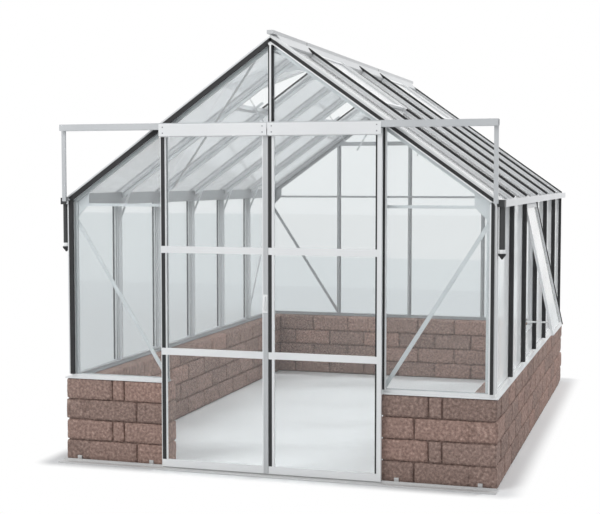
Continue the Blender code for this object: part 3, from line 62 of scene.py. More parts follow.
def soft_lamp(name, place, aim, width, power):
    lamp_data = bpy.data.lights.new(name, "AREA")
    lamp_data.shape = "SQUARE"
    lamp_data.size = width
    lamp_data.energy = power
    lamp = bpy.data.objects.new(name, lamp_data)
    lamp.location = place
    lamp.rotation_euler = (Vector(aim) - Vector(place)).to_track_quat("-Z", "Y").to_euler()
    bpy.context.scene.collection.objects.link(lamp)


soft_lamp("front_lamp", (-5.0, -7.0, 8.0), (0.0, 1.5, 0.8), 5.0, 430.0)
soft_lamp("high_lamp", (5.5, 7.5, 9.5), (0.0, 2.3, 0.0), 1.2, 520.0)


def set_sockets(tree, node, sockets):
    """Gives inputs of a node their values, or a link where the value is another socket."""
    for key, value in sockets.items():
        if isinstance(value, bpy.types.NodeSocket):
            tree.links.new(value, node.inputs[key])
        else:
            node.inputs[key].default_value = value


def new_node(tree, kind, sockets=None, **settings):
    """A new node with some of its own settings and inputs."""
    node = tree.nodes.new(kind)
    for key, value in settings.items():
        setattr(node, key, value)
    set_sockets(tree, node, sockets or {})
    return node


def node_out(tree, kind, sockets=None, **settings):
    """The first output of a new node."""
    return new_node(tree, kind, sockets, **settings).outputs[0]


def plain_math(tree, operation, *values):
    """One step of arithmetic between sockets or plain numbers."""
    return node_out(tree, "ShaderNodeMath", dict(enumerate(values)), operation=operation)


def seen_rays(tree):
    """One for rays passed on by gloss or glass, and one for these and the camera's own."""
    path = new_node(tree, "ShaderNodeLightPath").outputs
    passed_on = plain_math(tree, "MAXIMUM", path["Is Glossy Ray"], path["Is Transmission Ray"])
    return passed_on, plain_math(tree, "MAXIMUM", path["Is Camera Ray"], passed_on)


world = bpy.data.worlds.new("studio")
bpy.context.scene.world = world
world.use_nodes = True
sky = world.node_tree
sky.nodes.clear()
surround = node_out(sky, "ShaderNodeBackground", {"Color": (0.93, 0.965, 1.0, 1.0), "Strength": 0.62})
seen_white = node_out(sky, "ShaderNodeBackground", {"Color": (1.0, 1.0, 1.0, 1.0), "Strength": 1.0})
sky_mix = node_out(sky, "ShaderNodeMixShader", {0: seen_rays(sky)[1], 1: surround, 2: seen_white})
new_node(sky, "ShaderNodeOutputWorld", {"Surface": sky_mix})

# The floor is pale and keeps the shadow of the house. A little way off it fades to the
# white of the surround. Seen through the glass or in a reflection it glows there with a
# painted grey instead: painted shade, which gets lighter in two steps far behind the house.
floor_size = 60.0
floor_level = -0.001
floor_mesh = bpy.data.meshes.new("floor")
floor_mesh.from_pydata([(x * floor_size, y * floor_size, floor_level)
                        for x, y in ((-1, -1), (1, -1), (1, 1), (-1, 1))], [], [(0, 1, 2, 3)])
floor = bpy.data.objects.new("floor", floor_mesh)
bpy.context.scene.collection.objects.link(floor)


def vector_math(tree, operation, first, second=None, scale=None):
    """One vector step between sockets or plain vectors."""
    given = {0: first, 1: second, "Scale": scale}
    given = {key: value for key, value in given.items() if value is not None}
    outputs = new_node(tree, "ShaderNodeVectorMath", given, operation=operation).outputs
    return outputs["Value" if operation == "LENGTH" else "Vector"]


def mix_colour(tree, factor, first, second, blend="MIX"):
    sockets = {"Factor": factor, "A": first, "B": second}
    return new_node(tree, "ShaderNodeMix", sockets, data_type="RGBA", blend_type=blend).outputs["Result"]


def new_material(name, sockets=None):
    """A material with its tree and its shader, some of whose inputs are set."""
    material = bpy.data.materials.new(name)
    material.use_nodes = True
    shader = material.node_tree.nodes["Principled BSDF"]
    set_sockets(material.node_tree, shader, sockets or {})
    return material, material.node_tree, shader


fade_start = 0.03
fade_end = 0.18
# Greys of the floor seen through the glass: painted shade, lighter in steps far behind the house
near_painted_shade = (0.765, 0.785, 0.80, 1.0)
far_painted_shade = (0.82, 0.845, 0.855, 1.0)
open_painted_shade = (0.93, 0.93, 0.93, 1.0)
step_line = 14.2
open_line = 22.7
open_slant = 0.331
open_corner = 0.02
white_edge = (1.55, 2.34, 1.0)
floor_finish, floor_tree, floor_shader = new_material(
    "pale_floor", {"Base Color": (0.80, 0.80, 0.80, 1.0), "Roughness": 0.9, "Specular IOR Level": 0.1})
floor_place = new_node(floor_tree, "ShaderNodeTexCoord").outputs["Object"]
floor_parts = new_node(floor_tree, "ShaderNodeSeparateXYZ", {0: floor_place}).outputs
from_house = vector_math(floor_tree, "SUBTRACT", floor_place, (0.0, house_y, 0.0))
past_wall = vector_math(floor_tree, "SUBTRACT", vector_math(floor_tree, "ABSOLUTE", from_house), white_edge)
away = vector_math(floor_tree, "LENGTH", vector_math(floor_tree, "MAXIMUM", past_wall, (0.0, 0.0, 0.0)))
fade = node_out(floor_tree, "ShaderNodeMapRange",
                {"Value": away, "From Min": fade_start, "From Max": fade_end},
                interpolation_type="SMOOTHSTEP")
past_step = plain_math(floor_tree, "GREATER_THAN", floor_parts["Y"], step_line)
past_open = plain_math(floor_tree, "GREATER_THAN", floor_parts["Y"], open_line)
slant_place = plain_math(floor_tree, "MULTIPLY_ADD", floor_parts["Y"], open_slant, floor_parts["X"])
past_corner = plain_math(floor_tree, "GREATER_THAN", slant_place, open_corner)
# The grey glow of the floor seen through the glass is painted shade
painted_ground_shade = mix_colour(floor_tree, plain_math(floor_tree, "MULTIPLY", past_open, past_corner),
                         mix_colour(floor_tree, past_step, near_painted_shade, far_painted_shade), open_painted_shade)
through_glass, looked_at = seen_rays(floor_tree)
painted_floor_glow = node_out(floor_tree, "ShaderNodeMixShader",
                      {0: through_glass, 1: node_out(floor_tree, "ShaderNodeEmission"),
                       2: node_out(floor_tree, "ShaderNodeEmission", {"Color": painted_ground_shade})})
floor_mix = node_out(floor_tree, "ShaderNodeMixShader",
                     {0: plain_math(floor_tree, "MULTIPLY", fade, looked_at),
                      1: floor_shader.outputs[0], 2: painted_floor_glow})
set_sockets(floor_tree, floor_tree.nodes["Material Output"], {"Surface": floor_mix})
floor_mesh.materials.append(floor_finish)

# Dwarf wall. Rough blocks of split concrete stone laid in four courses with narrow dark
# joints. Each block has a tone of its own, broken faces and worn edges; the corners are
# bonded, so that headers and stretchers take turns.
sides = ((-1, "left"), (1, "right"))
course_height = 0.146
courses = 4
wall_half_width = 1.525
wall_half_length = 2.269
wall_thickness = 0.190
doorway = 0.760
block_length = 0.366
joint = 0.007
proud = 0.003


def effect_group(name, inputs, outputs):
    """A shader node group of plain numbers: inputs as (name, value), outputs by name."""
    group = bpy.data.node_groups.new(name, "ShaderNodeTree")
    for label, value in inputs:
        socket = group.interface.new_socket(label, in_out="INPUT", socket_type="NodeSocketFloat")
        socket.default_value = value
    for label in outputs:
        group.interface.new_socket(label, in_out="OUTPUT", socket_type="NodeSocketFloat")
    return group, group.nodes.new("NodeGroupInput"), group.nodes.new("NodeGroupOutput")


# Grain: noise of two sizes in Object coordinates, and the fine one stretched to a speckle
grain, grain_in, grain_out = effect_group(
    "grain", [("Fine Scale", 400.0), ("Broad Scale", 12.0), ("Low", 0.3), ("High", 0.7)],
    ["Fine", "Broad", "Speckle"])
grain_place = new_node(grain, "ShaderNodeTexCoord").outputs["Object"]
fine_noise, broad_noise = [
    node_out(grain, "ShaderNodeTexNoise",
             {"Vector": grain_place, "Scale": grain_in.outputs[scale], "Detail": detail})
    for scale, detail in (("Fine Scale", 3.0), ("Broad Scale", 5.0))]
speckle = node_out(grain, "ShaderNodeMapRange", {"Value": fine_noise, "From Min": grain_in.outputs["Low"],
                                                 "From Max": grain_in.outputs["High"]})
set_sockets(grain, grain_out, {"Fine": fine_noise, "Broad": broad_noise, "Speckle": speckle})


def grain_outputs(tree, fine, broad, low=0.3, high=0.7):
    """The outputs of a grain group with its scales and its speckle range set."""
    sockets = {"Fine Scale": fine, "Broad Scale": broad, "Low": low, "High": high}
    return new_node(tree, "ShaderNodeGroup", sockets, node_tree=grain).outputs


def colour_ramp(tree, factor, *stops):
    """The colour of a ramp through stops of (place, red, green, blue)."""
    ramp = new_node(tree, "ShaderNodeValToRGB", {"Fac": factor})
    elements = ramp.color_ramp.elements
    for element, stop in ((elements[0], stops[0]), (elements[1], stops[-1])):
        element.position = stop[0]
        element.color = stop[1:] + (1.0,)
    for stop in stops[1:-1]:
        elements.new(stop[0]).color = stop[1:] + (1.0,)
    return ramp.outputs["Color"]


def value_range(tree, factor, low, high):
    return node_out(tree, "ShaderNodeMapRange", {"Value": factor, "To Min": low, "To Max": high})


def add_bump(tree, shader, height, strength, distance):
    sockets = {"Height": height, "Strength": strength, "Distance": distance}
    set_sockets(tree, shader, {"Normal": node_out(tree, "ShaderNodeBump", sockets)})


def grained_material(name, scales, colours, roughness, colour_by="Broad", sockets=None):
    """A plain material whose grain moves its colour and its roughness between two values."""
    material, tree, shader = new_material(name, sockets)
    texture = grain_outputs(tree, *scales)
    set_sockets(tree, shader, {"Base Color": colour_ramp(tree, texture[colour_by], *colours),
                               "Roughness": value_range(tree, texture["Broad"], *roughness)})
    return material


fleck_strength = 0.35
fleck_colour = (0.50, 0.43, 0.38, 1.0)
stone, stone_tree, stone_shader = new_material("split_stone", {"Specular IOR Level": 0.25})
stone_grain = grain_outputs(stone_tree, 52.0, 9.0, 0.22, 0.78)
stone_fleck = grain_outputs(stone_tree, 120.0, 26.0, 0.52, 0.76)
block_tone = new_node(stone_tree, "ShaderNodeAttribute", attribute_name="tone").outputs["Fac"]
stone_colour = colour_ramp(stone_tree, stone_grain["Speckle"], (0.0, 0.158, 0.106, 0.089),
                           (0.35, 0.245, 0.170, 0.145), (0.62, 0.327, 0.231, 0.199),
                           (1.0, 0.53, 0.393, 0.335))
stone_tint = colour_ramp(stone_tree, block_tone, (0.0, 0.84, 0.82, 0.81), (0.5, 0.98, 0.96, 0.95),
                         (1.0, 1.14, 1.06, 1.03))
tinted_stone = mix_colour(stone_tree, 1.0, stone_colour, stone_tint, "MULTIPLY")
fleck_amount = plain_math(stone_tree, "MULTIPLY", stone_fleck["Speckle"], fleck_strength)
set_sockets(stone_tree, stone_shader,
            {"Base Color": mix_colour(stone_tree, fleck_amount, tinted_stone, fleck_colour),
             "Roughness": value_range(stone_tree, stone_grain["Broad"], 0.78, 0.98)})
stone_relief = plain_math(stone_tree, "MULTIPLY_ADD", stone_grain["Fine"], 0.5, stone_fleck["Broad"])
add_bump(stone_tree, stone_shader, stone_relief, 0.9, 0.006)
mortar = grained_material("dark_joint", (300.0, 20.0),
                          [(0.0, 0.030, 0.021, 0.018), (1.0, 0.075, 0.052, 0.044)], (0.95, 0.95), "Fine")

# The rule of one laid block: a grid box at each point, rounded to its edge radius and
# broken up by noise, with a random tone
block_tree = bpy.data.node_groups.new("laid_blocks", "GeometryNodeTree")


def tree_sockets(tree, in_out, *sockets):
    """Sockets of a geometry tree as (label, kind) or (label, kind, default)."""
    for label, kind, *default in sockets:
        socket = tree.interface.new_socket(label, in_out=in_out, socket_type="NodeSocket" + kind)
        if default:
            socket.default_value = default[0]


tree_sockets(block_tree, "INPUT", ("Points", "Geometry"), ("Edge Radius", "Float", 0.012),
             ("Roughness Depth", "Float", 0.010), ("Grain Scale", "Float", 26.0), ("Seed", "Int", 3),
             ("Material", "Material"))
tree_sockets(block_tree, "OUTPUT", ("Blocks", "Geometry"))
block_in = block_tree.nodes.new("NodeGroupInput").outputs


def named_value(tree, name):
    """The value of a vector attribute, by its name."""
    node = new_node(tree, "GeometryNodeInputNamedAttribute", {"Name": name}, data_type="FLOAT_VECTOR")
    return node.outputs["Attribute"]


def stored(tree, geometry, name, value, kind):
    sockets = {"Geometry": geometry, "Name": name, "Value": value}
    return node_out(tree, "GeometryNodeStoreNamedAttribute", sockets, data_type=kind, domain="POINT")


block_size = named_value(block_tree, "block_size")
block_centre = named_value(block_tree, "block_centre")
place_now = node_out(block_tree, "GeometryNodeInputPosition")
tone_value = new_node(block_tree, "FunctionNodeRandomValue", {"Seed": block_in["Seed"]}, data_type="FLOAT")
block_points = stored(block_tree, block_in["Points"], "block_centre", place_now, "FLOAT_VECTOR")
block_points = stored(block_tree, block_points, "tone", tone_value.outputs[1], "FLOAT")
break_noise = new_node(block_tree, "ShaderNodeTexNoise", {"Scale": block_in["Grain Scale"], "Detail": 3.0})
local = vector_math(block_tree, "SUBTRACT", place_now, block_centre)
half_size = vector_math(block_tree, "SCALE", block_size, scale=0.5)
edge_radius = block_in["Edge Radius"]
radius_vector = node_out(block_tree, "ShaderNodeCombineXYZ", {axis: edge_radius for axis in "XYZ"})
core_half = vector_math(block_tree, "SUBTRACT", half_size, radius_vector)
core_low = vector_math(block_tree, "SCALE", core_half, scale=-1.0)
core_point = vector_math(block_tree, "MINIMUM", local, core_half)
core_point = vector_math(block_tree, "MAXIMUM", core_point, core_low)
skin_way = vector_math(block_tree, "NORMALIZE", vector_math(block_tree, "SUBTRACT", local, core_point))
round_point = vector_math(block_tree, "ADD", core_point,
                          vector_math(block_tree, "SCALE", skin_way, scale=edge_radius))
noise_centred = vector_math(block_tree, "SUBTRACT", break_noise.outputs["Color"], (0.5, 0.5, 0.5))
noise_way = vector_math(block_tree, "SCALE", noise_centred, scale=block_in["Roughness Depth"])
broken_point = vector_math(block_tree, "ADD", round_point, noise_way)
new_place = vector_math(block_tree, "ADD", broken_point, block_centre)
grid_box = node_out(block_tree, "GeometryNodeMeshCube", {"Vertices X": 15, "Vertices Y": 15, "Vertices Z": 9})
blocks = node_out(block_tree, "GeometryNodeInstanceOnPoints",
                  {"Points": block_points, "Instance": grid_box, "Scale": block_size})
blocks = node_out(block_tree, "GeometryNodeRealizeInstances", {0: blocks})
blocks = node_out(block_tree, "GeometryNodeSetPosition", {"Geometry": blocks, "Position": new_place})
blocks = node_out(block_tree, "GeometryNodeSetShadeSmooth", {"Geometry": blocks})
blocks = node_out(block_tree, "GeometryNodeSetMaterial",
                  {"Geometry": blocks, "Material": block_in["Material"]})
new_node(block_tree, "NodeGroupOutput", {"Blocks": blocks})


def run_tree(name, points_mesh, tree, values):
    """Runs a geometry tree on a mesh of points and gives back the plain mesh."""
    carrier = bpy.data.objects.new(name, points_mesh)
    bpy.context.scene.collection.objects.link(carrier)
    step = carrier.modifiers.new(name, "NODES")
    step.node_group = tree
    for item in tree.interface.items_tree:
        if item.in_out == "INPUT" and item.name in values:
            step[item.identifier] = values[item.name]
    bpy.context.view_layer.update()
    graph = bpy.context.evaluated_depsgraph_get()
    mesh = bpy.data.meshes.new_from_object(carrier.evaluated_get(graph))
    bpy.data.objects.remove(carrier, do_unlink=True)
    mesh.name = name
    return mesh


def show(name, mesh, body="greenhouse", replaced=()):
    """Puts a finished mesh in the scene, riding on its body."""
    piece = bpy.data.objects.new(name, mesh)
    bpy.context.scene.collection.objects.link(piece)
    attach(piece, body)
    if replaced:
        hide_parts(*replaced)


def add_box(work, low, high):
    """A box between two corners of the house, in a mesh that is being made."""
    made = bmesh.ops.create_cube(work, size=1.0)["verts"]
    bmesh.ops.scale(work, vec=high - low, verts=made)
    bmesh.ops.translate(work, vec=(low + high) / 2 + Vector((0, house_y, 0)), verts=made)
    return made


def block_row(start, end, cuts):
    """Spans of the blocks of one course between two ends, cut at some places."""
    shortest = 0.05
    marks = [start] + [cut for cut in cuts if start + shortest < cut < end - shortest] + [end]
    return list(zip(marks[:-1], marks[1:]))


def lay_wall(name, spans_of, across, along_x, core, seed):
    """One wall of blocks: spans along it in each course, its thickness and its joint core."""
    top_joint = 0.55
    centres, sizes = [], []
    centre_across = (across[0] + across[1]) / 2
    depth = abs(across[1] - across[0])
    for course in range(courses):
        from_top = courses - 1 - course
        height = course_height - joint * (1.0 if from_top else top_joint)
        z = (course + 0.5) * course_height
        for low, high in spans_of(from_top % 2 == 0):
            length = high - low - joint
            middle = (low + high) / 2
            if along_x:
                centres.append((middle, centre_across + house_y, z))
                sizes.append((length, depth, height))
            else:
                centres.append((centre_across, middle + house_y, z))
                sizes.append((depth, length, height))
    points = bpy.data.meshes.new(name + "_points")
    points.from_pydata(centres, [], [])
    attribute = points.attributes.new("block_size", "FLOAT_VECTOR", "POINT")
    for index, size in enumerate(sizes):
        attribute.data[index].vector = size
    mesh = run_tree(name + "_blocks", points, block_tree, {"Seed": seed, "Material": stone})
    work = bmesh.new()
    work.from_mesh(mesh)
    made = add_box(work, Vector(core[0]), Vector(core[1]))
    for face in {face for vert in made for face in vert.link_faces}:
        face.material_index = 1
    work.to_mesh(mesh)
    work.free()
    mesh.materials.append(mortar)
    show(name + "_blocks", mesh, replaced=(name,))


inset = 0.014
core_foot = 0.001
core_top = courses * course_height - 0.006
header = 0.175
header_step = header + 0.012
stretcher = 0.357
closer = 0.090


def front_spans(side):
    """Blocks of a front wall between the doorway and the outer corner."""
    def spans(short_course):
        if short_course:
            cuts = [wall_half_width - stretcher, wall_half_width - stretcher - closer]
        else:
            cuts = [wall_half_width - header, wall_half_width - header - block_length]
        end = wall_half_width if short_course else wall_half_width - header
        found = block_row(doorway, end, [cut for cut in sorted(cuts) if cut < end])
        return [(side * high, side * low) if side < 0 else (low, high) for low, high in found]
    return spans


def side_spans(short_course):
    """Blocks of a side wall. It owns the corners in every second course."""
    start = -wall_half_length + (header_step if short_course else 0.0)
    end = wall_half_length - (0.0 if short_course else header_step)
    first = start + (block_length if short_course else stretcher)
    return block_row(start, end, [first + step * block_length for step in range(14)])


def rear_spans(short_course):
    """Blocks of the rear wall, which owns the corners where the side walls don't."""
    reach = wall_half_width - (header_step if short_course else 0.0)
    first = -reach + (block_length if short_course else stretcher)
    return block_row(-reach, reach, [first + step * block_length for step in range(9)])


outer_x = (wall_half_width - wall_thickness - proud, wall_half_width + proud)
outer_y = (wall_half_length - wall_thickness - proud, wall_half_length + proud)
inner_y = wall_half_length - wall_thickness + inset
for (side, word), seed in zip(sides, (3, 8)):
    x_core = sorted((side * (doorway + inset), side * (wall_half_width - inset)))
    lay_wall("wall_front_" + word, front_spans(side), (-outer_y[1], -outer_y[0]), True,
             ((x_core[0], -wall_half_length + inset, core_foot), (x_core[1], -inner_y, core_top)), seed)
    x_core = sorted((side * (wall_half_width - wall_thickness + inset), side * (wall_half_width - inset)))
    lay_wall("wall_" + word, side_spans, (side * outer_x[0], side * outer_x[1]), False,
             ((x_core[0], -inner_y, core_foot), (x_core[1], wall_half_length - inset, core_top)),
             seed + 20)
lay_wall("wall_rear", rear_spans, outer_y, True,
         ((-wall_half_width + inset, inner_y, core_foot),
          (wall_half_width - inset, wall_half_length - inset, core_top)), 51)

# Aluminium of the frame: extruded bars, coated near-white, with the faint lines of the die
# along them and a little dust. Where a bar lies inside the glass it takes a darker grey,
# which is painted shade. The line between the coat and the painted shade is the plane of the glass.
pitch = math.radians(35.5)
half_width = 1.490
half_length = 2.234
eave_height = 1.860
ridge_height = eave_height + half_width * math.tan(pitch)
slope = half_width / math.cos(pitch)
bay = 0.744
coat_shade_blend = 0.001

# Outside is 1 beyond the plane of the glass and 0 within it, where the metal gets its painted shade
shade_side, _, shade_side_out = effect_group("painted_shade_side", [], ["Outside"])
shade_side_place = new_node(shade_side, "ShaderNodeTexCoord").outputs["Object"]
shade_side_local = vector_math(shade_side, "SUBTRACT", shade_side_place, (0.0, house_y, 0.0))
shade_side_parts = new_node(shade_side, "ShaderNodeSeparateXYZ",
                         {0: vector_math(shade_side, "ABSOLUTE", shade_side_local)}).outputs
past_side = plain_math(shade_side, "SUBTRACT", shade_side_parts["X"], half_width)
past_end = plain_math(shade_side, "SUBTRACT", shade_side_parts["Y"], half_length)
roof_rise = plain_math(shade_side, "MULTIPLY_ADD", shade_side_parts["X"], math.tan(pitch), shade_side_parts["Z"])
past_roof = plain_math(shade_side, "SUBTRACT", roof_rise, ridge_height)
past_any = plain_math(shade_side, "MAXIMUM", past_side, plain_math(shade_side, "MAXIMUM", past_end, past_roof))
outside_glass = node_out(shade_side, "ShaderNodeMapRange",
                         {"Value": past_any, "From Min": -coat_shade_blend, "From Max": coat_shade_blend})
set_sockets(shade_side, shade_side_out, {"Outside": outside_glass})


def satin_metal(name, inside, outside, roughness, metallic, stretch):
    """Extruded aluminium whose fine lines run along the axis with the small stretch."""
    material, tree, shader = new_material(name, {"Metallic": metallic})
    place = new_node(tree, "ShaderNodeTexCoord").outputs["Object"]
    lines_place = node_out(tree, "ShaderNodeMapping", {"Vector": place, "Scale": stretch})
    lines = node_out(tree, "ShaderNodeTexNoise", {"Vector": lines_place, "Scale": 1.0, "Detail": 2.0})
    dust = grain_outputs(tree, 60.0, 1.6)["Broad"]
    outside_share = node_out(tree, "ShaderNodeGroup", node_tree=shade_side)
    # Inside the glass the bar takes its inside colour, which is painted shade
    coat_and_shade = mix_colour(tree, outside_share, inside + (1.0,), outside + (1.0,))
    # The dust ramp below is the metal's own uneven tone
    shade = colour_ramp(tree, dust, (0.25, 0.92, 0.925, 0.93), (0.75, 1.04, 1.04, 1.035))
    set_sockets(tree, shader, {"Base Color": mix_colour(tree, 1.0, coat_and_shade, shade, "MULTIPLY"),
                               "Roughness": value_range(tree, dust, roughness - 0.06, roughness + 0.09)})
    add_bump(tree, shader, lines, 0.12, 0.0006)
    return material


def finish_nodes(material, *names):
    for name in names:
        part = nodes[name]
        part.data.materials.clear()
        part.data.materials.append(material)


coated = (0.82, 0.82, 0.82)
# Greys of the bars inside the glass: painted shade
inside_shade = (0.42, 0.43, 0.44)
deep_inside_shade = (0.40, 0.41, 0.42)
lines_x = (6.0, 900.0, 900.0)
lines_y = (900.0, 6.0, 900.0)
lines_z = (900.0, 900.0, 6.0)
upright_metal = satin_metal("upright_aluminium", inside_shade, coated, 0.38, 0.25, lines_z)
# The inside colours given below are painted shade as well
front_metal = satin_metal("front_aluminium", (0.62, 0.64, 0.65), coated, 0.38, 0.15, lines_z)
rib_metal = satin_metal("rib_aluminium", (0.62, 0.63, 0.64), coated, 0.38, 0.20, lines_z)
long_metal = satin_metal("long_aluminium", deep_inside_shade, (0.74, 0.74, 0.745), 0.40, 0.20, lines_y)
ridge_metal = satin_metal("ridge_aluminium", deep_inside_shade, (0.57, 0.575, 0.58), 0.40, 0.20, lines_y)
cross_metal = satin_metal("cross_aluminium", inside_shade, coated, 0.38, 0.25, lines_x)
rail_metal = satin_metal("rail_aluminium", inside_shade, (0.64, 0.635, 0.63), 0.40, 0.25, lines_x)
track_metal = satin_metal("track_aluminium", (0.50, 0.51, 0.52), (0.56, 0.57, 0.58), 0.40, 0.30, lines_x)
leaf_metal = satin_metal("leaf_aluminium", (0.80, 0.80, 0.80), (0.84, 0.84, 0.84), 0.38, 0.10, lines_z)
vents = ["vent_%s_%s" % (side, end) for side in ("left", "right") for end in ("front", "rear")]
finish_nodes(rail_metal, "ground_rail")
finish_nodes(cross_metal, "sill", "door_header")
finish_nodes(track_metal, "door_track")
finish_nodes(leaf_metal, "door_frame_left", "door_frame_right", "window", *vents)
finish_nodes(front_metal, "front_gable_frame_left", "front_gable_frame_right", "door_jamb_left",
             "door_jamb_right")
finish_nodes(upright_metal, "rear_gable_frame_left", "rear_gable_frame_right", "rear_mullion_left",
             "rear_mullion_centre", "rear_mullion_right")
finish_nodes(rib_metal, "roof_brace_left", "window_stay", *["rib_%d" % number for number in range(1, 6)])
finish_nodes(rib_metal, *[vent + "_stay" for vent in vents])
finish_nodes(long_metal, "eave_gutter_left", "eave_gutter_right")
finish_nodes(ridge_metal, "ridge")

# Rubber seals. Black profiles pressed over both shoulders of every glazing bar, on the
# face of the gable rafters and corner posts, and down the edges of the rear verge.
rubber, rubber_tree, rubber_shader = new_material("black_rubber", {"Specular IOR Level": 0.35})
rubber_grain = grain_outputs(rubber_tree, 500.0, 5.0)
rubber_colour = colour_ramp(rubber_tree, rubber_grain["Broad"], (0.25, 0.020, 0.020, 0.021),
                            (0.8, 0.038, 0.037, 0.038))
set_sockets(rubber_tree, rubber_shader,
            {"Base Color": rubber_colour,
             "Roughness": value_range(rubber_tree, rubber_grain["Broad"], 0.45, 0.68)})
add_bump(rubber_tree, rubber_shader, rubber_grain["Fine"], 0.15, 0.0004)

# Set out: one length of a profile, or one small fitting, at every point of a mesh, turned
# and stretched by the point's own attributes
set_out = bpy.data.node_groups.new("set_out", "GeometryNodeTree")
tree_sockets(set_out, "INPUT", ("Points", "Geometry"), ("Fitting", "Object"), ("Material", "Material"))
tree_sockets(set_out, "OUTPUT", ("Pieces", "Geometry"))
set_in = set_out.nodes.new("NodeGroupInput").outputs
fitting_shape = new_node(set_out, "GeometryNodeObjectInfo", {"Object": set_in["Fitting"]}).outputs["Geometry"]
fitting_turn = node_out(set_out, "FunctionNodeEulerToRotation", {0: named_value(set_out, "turn")})
fittings = node_out(set_out, "GeometryNodeInstanceOnPoints",
                    {"Points": set_in["Points"], "Instance": fitting_shape, "Rotation": fitting_turn,
                     "Scale": named_value(set_out, "stretch")})
fittings = node_out(set_out, "GeometryNodeRealizeInstances", {0: fittings})
fittings = node_out(set_out, "GeometryNodeSetMaterial",
                    {"Geometry": fittings, "Material": set_in["Material"]})
new_node(set_out, "NodeGroupOutput", {"Pieces": fittings})


def band(work, first, second):
    """Faces between two closed rings of corners."""
    for index in range(len(first)):
        following = (index + 1) % len(first)
        work.faces.new((first[index], first[following], second[following], second[index]))


def draw_out(work, *outlines):
    """A closed solid through outlines of places, one after the other."""
    rings = [[work.verts.new(place) for place in outline] for outline in outlines]
    for first, second in zip(rings[:-1], rings[1:]):
        band(work, first, second)
    work.faces.new(list(reversed(rings[0])))
    work.faces.new(rings[-1])


def finished_mesh(name, work, material=None):
    """The mesh of finished work, with its faces turned outward."""
    bmesh.ops.recalc_face_normals(work, faces=work.faces)
    mesh = bpy.data.meshes.new(name)
    work.to_mesh(mesh)
    work.free()
    if material:
        mesh.materials.append(material)
    return mesh


def length_mesh(name, *outlines):
    """Closed outlines (across, outward) drawn out to one metre along Z."""
    work = bmesh.new()
    for outline in outlines:
        draw_out(work, [(x, y, 0.0) for x, y in outline], [(x, y, 1.0) for x, y in outline])
    return finished_mesh(name, work)


def lay_lengths(name, template, runs, material, body="greenhouse"):
    """Lays a template along runs of (start, end, outward), in house coordinates."""
    points = bpy.data.meshes.new(name + "_points")
    points.from_pydata([tuple(Vector(start) + Vector((0, house_y, 0))) for start, _, _ in runs], [], [])
    turn = points.attributes.new("turn", "FLOAT_VECTOR", "POINT")
    stretch = points.attributes.new("stretch", "FLOAT_VECTOR", "POINT")
    for index, (start, end, outward) in enumerate(runs):
        reach = Vector(end) - Vector(start)
        along = reach.normalized()
        up = Vector(outward)
        up = (up - along * up.dot(along)).normalized()
        turn.data[index].vector = Vector(Matrix((up.cross(along), up, along)).transposed().to_euler())
        stretch.data[index].vector = (1.0, 1.0, reach.length)
    holder = bpy.data.objects.new(name + "_fitting", template)
    bpy.context.scene.collection.objects.link(holder)
    mesh = run_tree(name, points, set_out, {"Fitting": holder, "Material": material})
    bpy.data.objects.remove(holder, do_unlink=True)
    show(name, mesh, body)


def roof_point(side, y, down):
    """A place in the plane of the roof glass, so far down the slope from the ridge."""
    return Vector((side * down * math.cos(pitch), y, ridge_height - down * math.sin(pitch)))


def slope_out(side):
    return Vector((side * math.sin(pitch), 0.0, math.cos(pitch)))


def flipped(outline, way):
    """An outline turned over across its run where the way is -1."""
    return [(way * x, y) for x, y in outline]


crown = 0.0065
cap_side = 0.0165
roof_seal_foot = 0.0150
bar_foot = 0.6132
gutter_bottom = 1.8116
seal_gap = 0.0006
eave_end = slope + 0.0215
seal_start = 0.0845
bare_start = 0.72
bare_ends = ((2, 1), (5, 1))
cap_shoulder = [(crown, 0.0306), (crown, 0.0314), (0.0125, 0.0314), (0.0178, 0.0222), (0.0178, 0.0006),
                (0.0172, 0.0006), (0.0172, 0.0220), (0.0122, 0.0306)]
roof_shoulder = [(x, max(y, roof_seal_foot) if x > cap_side else y) for x, y in cap_shoulder]
cap_seal_mesh = length_mesh("cap_seal", flipped(cap_shoulder, -1), cap_shoulder)
roof_seal_mesh = length_mesh("roof_seal", flipped(roof_shoulder, -1), roof_shoulder)
rib_ends = [(number, side, (number - 3) * bay) for number in range(1, 6) for side in (-1, 1)]
rib_runs, roof_runs = [], []
for number, side, y in rib_ends:
    wall_runs = rib_runs if side > 0 else roof_runs
    wall_runs.append(((side * half_width, y, bar_foot), (side * half_width, y, gutter_bottom - seal_gap),
                      (side, 0, 0)))
    roof_start = bare_start if (number, side) in bare_ends else seal_start
    roof_runs.append((roof_point(side, y, roof_start), roof_point(side, y, eave_end), slope_out(side)))
lay_lengths("rib_seals", cap_seal_mesh, rib_runs, rubber)
lay_lengths("roof_bar_seals", roof_seal_mesh, roof_runs, rubber)

jamb_x = 0.772
cap_half = 0.017
header_foot = 2.3475
rake_clear = 0.0276 / math.cos(pitch)


def gable_bar_run(x, end, foot):
    """Run of a cap seal up a gable bar, from its foot to the rafter's own seal."""
    top = ridge_height - (abs(x) + cap_half) * math.tan(pitch) - rake_clear
    return (x, end * half_length, foot), (x, end * half_length, top), (0, end, 0)


gable_runs = [gable_bar_run(x, 1, bar_foot) for x in (-bay, 0.0, bay)]
gable_runs.append(gable_bar_run(0.0, -1, header_foot))
lay_lengths("gable_bar_seals", cap_seal_mesh, gable_runs, rubber)

# A door jamb has one broad seal instead, over the side that the leaf closes on
broad_seal = [(-0.0178, 0.0006), (-0.0178, 0.0222), (-0.0125, 0.0314), (0.0125, 0.0314), (0.0125, 0.0306),
              (-0.0122, 0.0306), (-0.0172, 0.0220), (-0.0172, 0.0006)]
for side, word in sides:
    lay_lengths("jamb_seal_" + word, length_mesh("jamb_seal", flipped(broad_seal, -side)),
                [gable_bar_run(side * jamb_x, -1, bar_foot)], rubber)

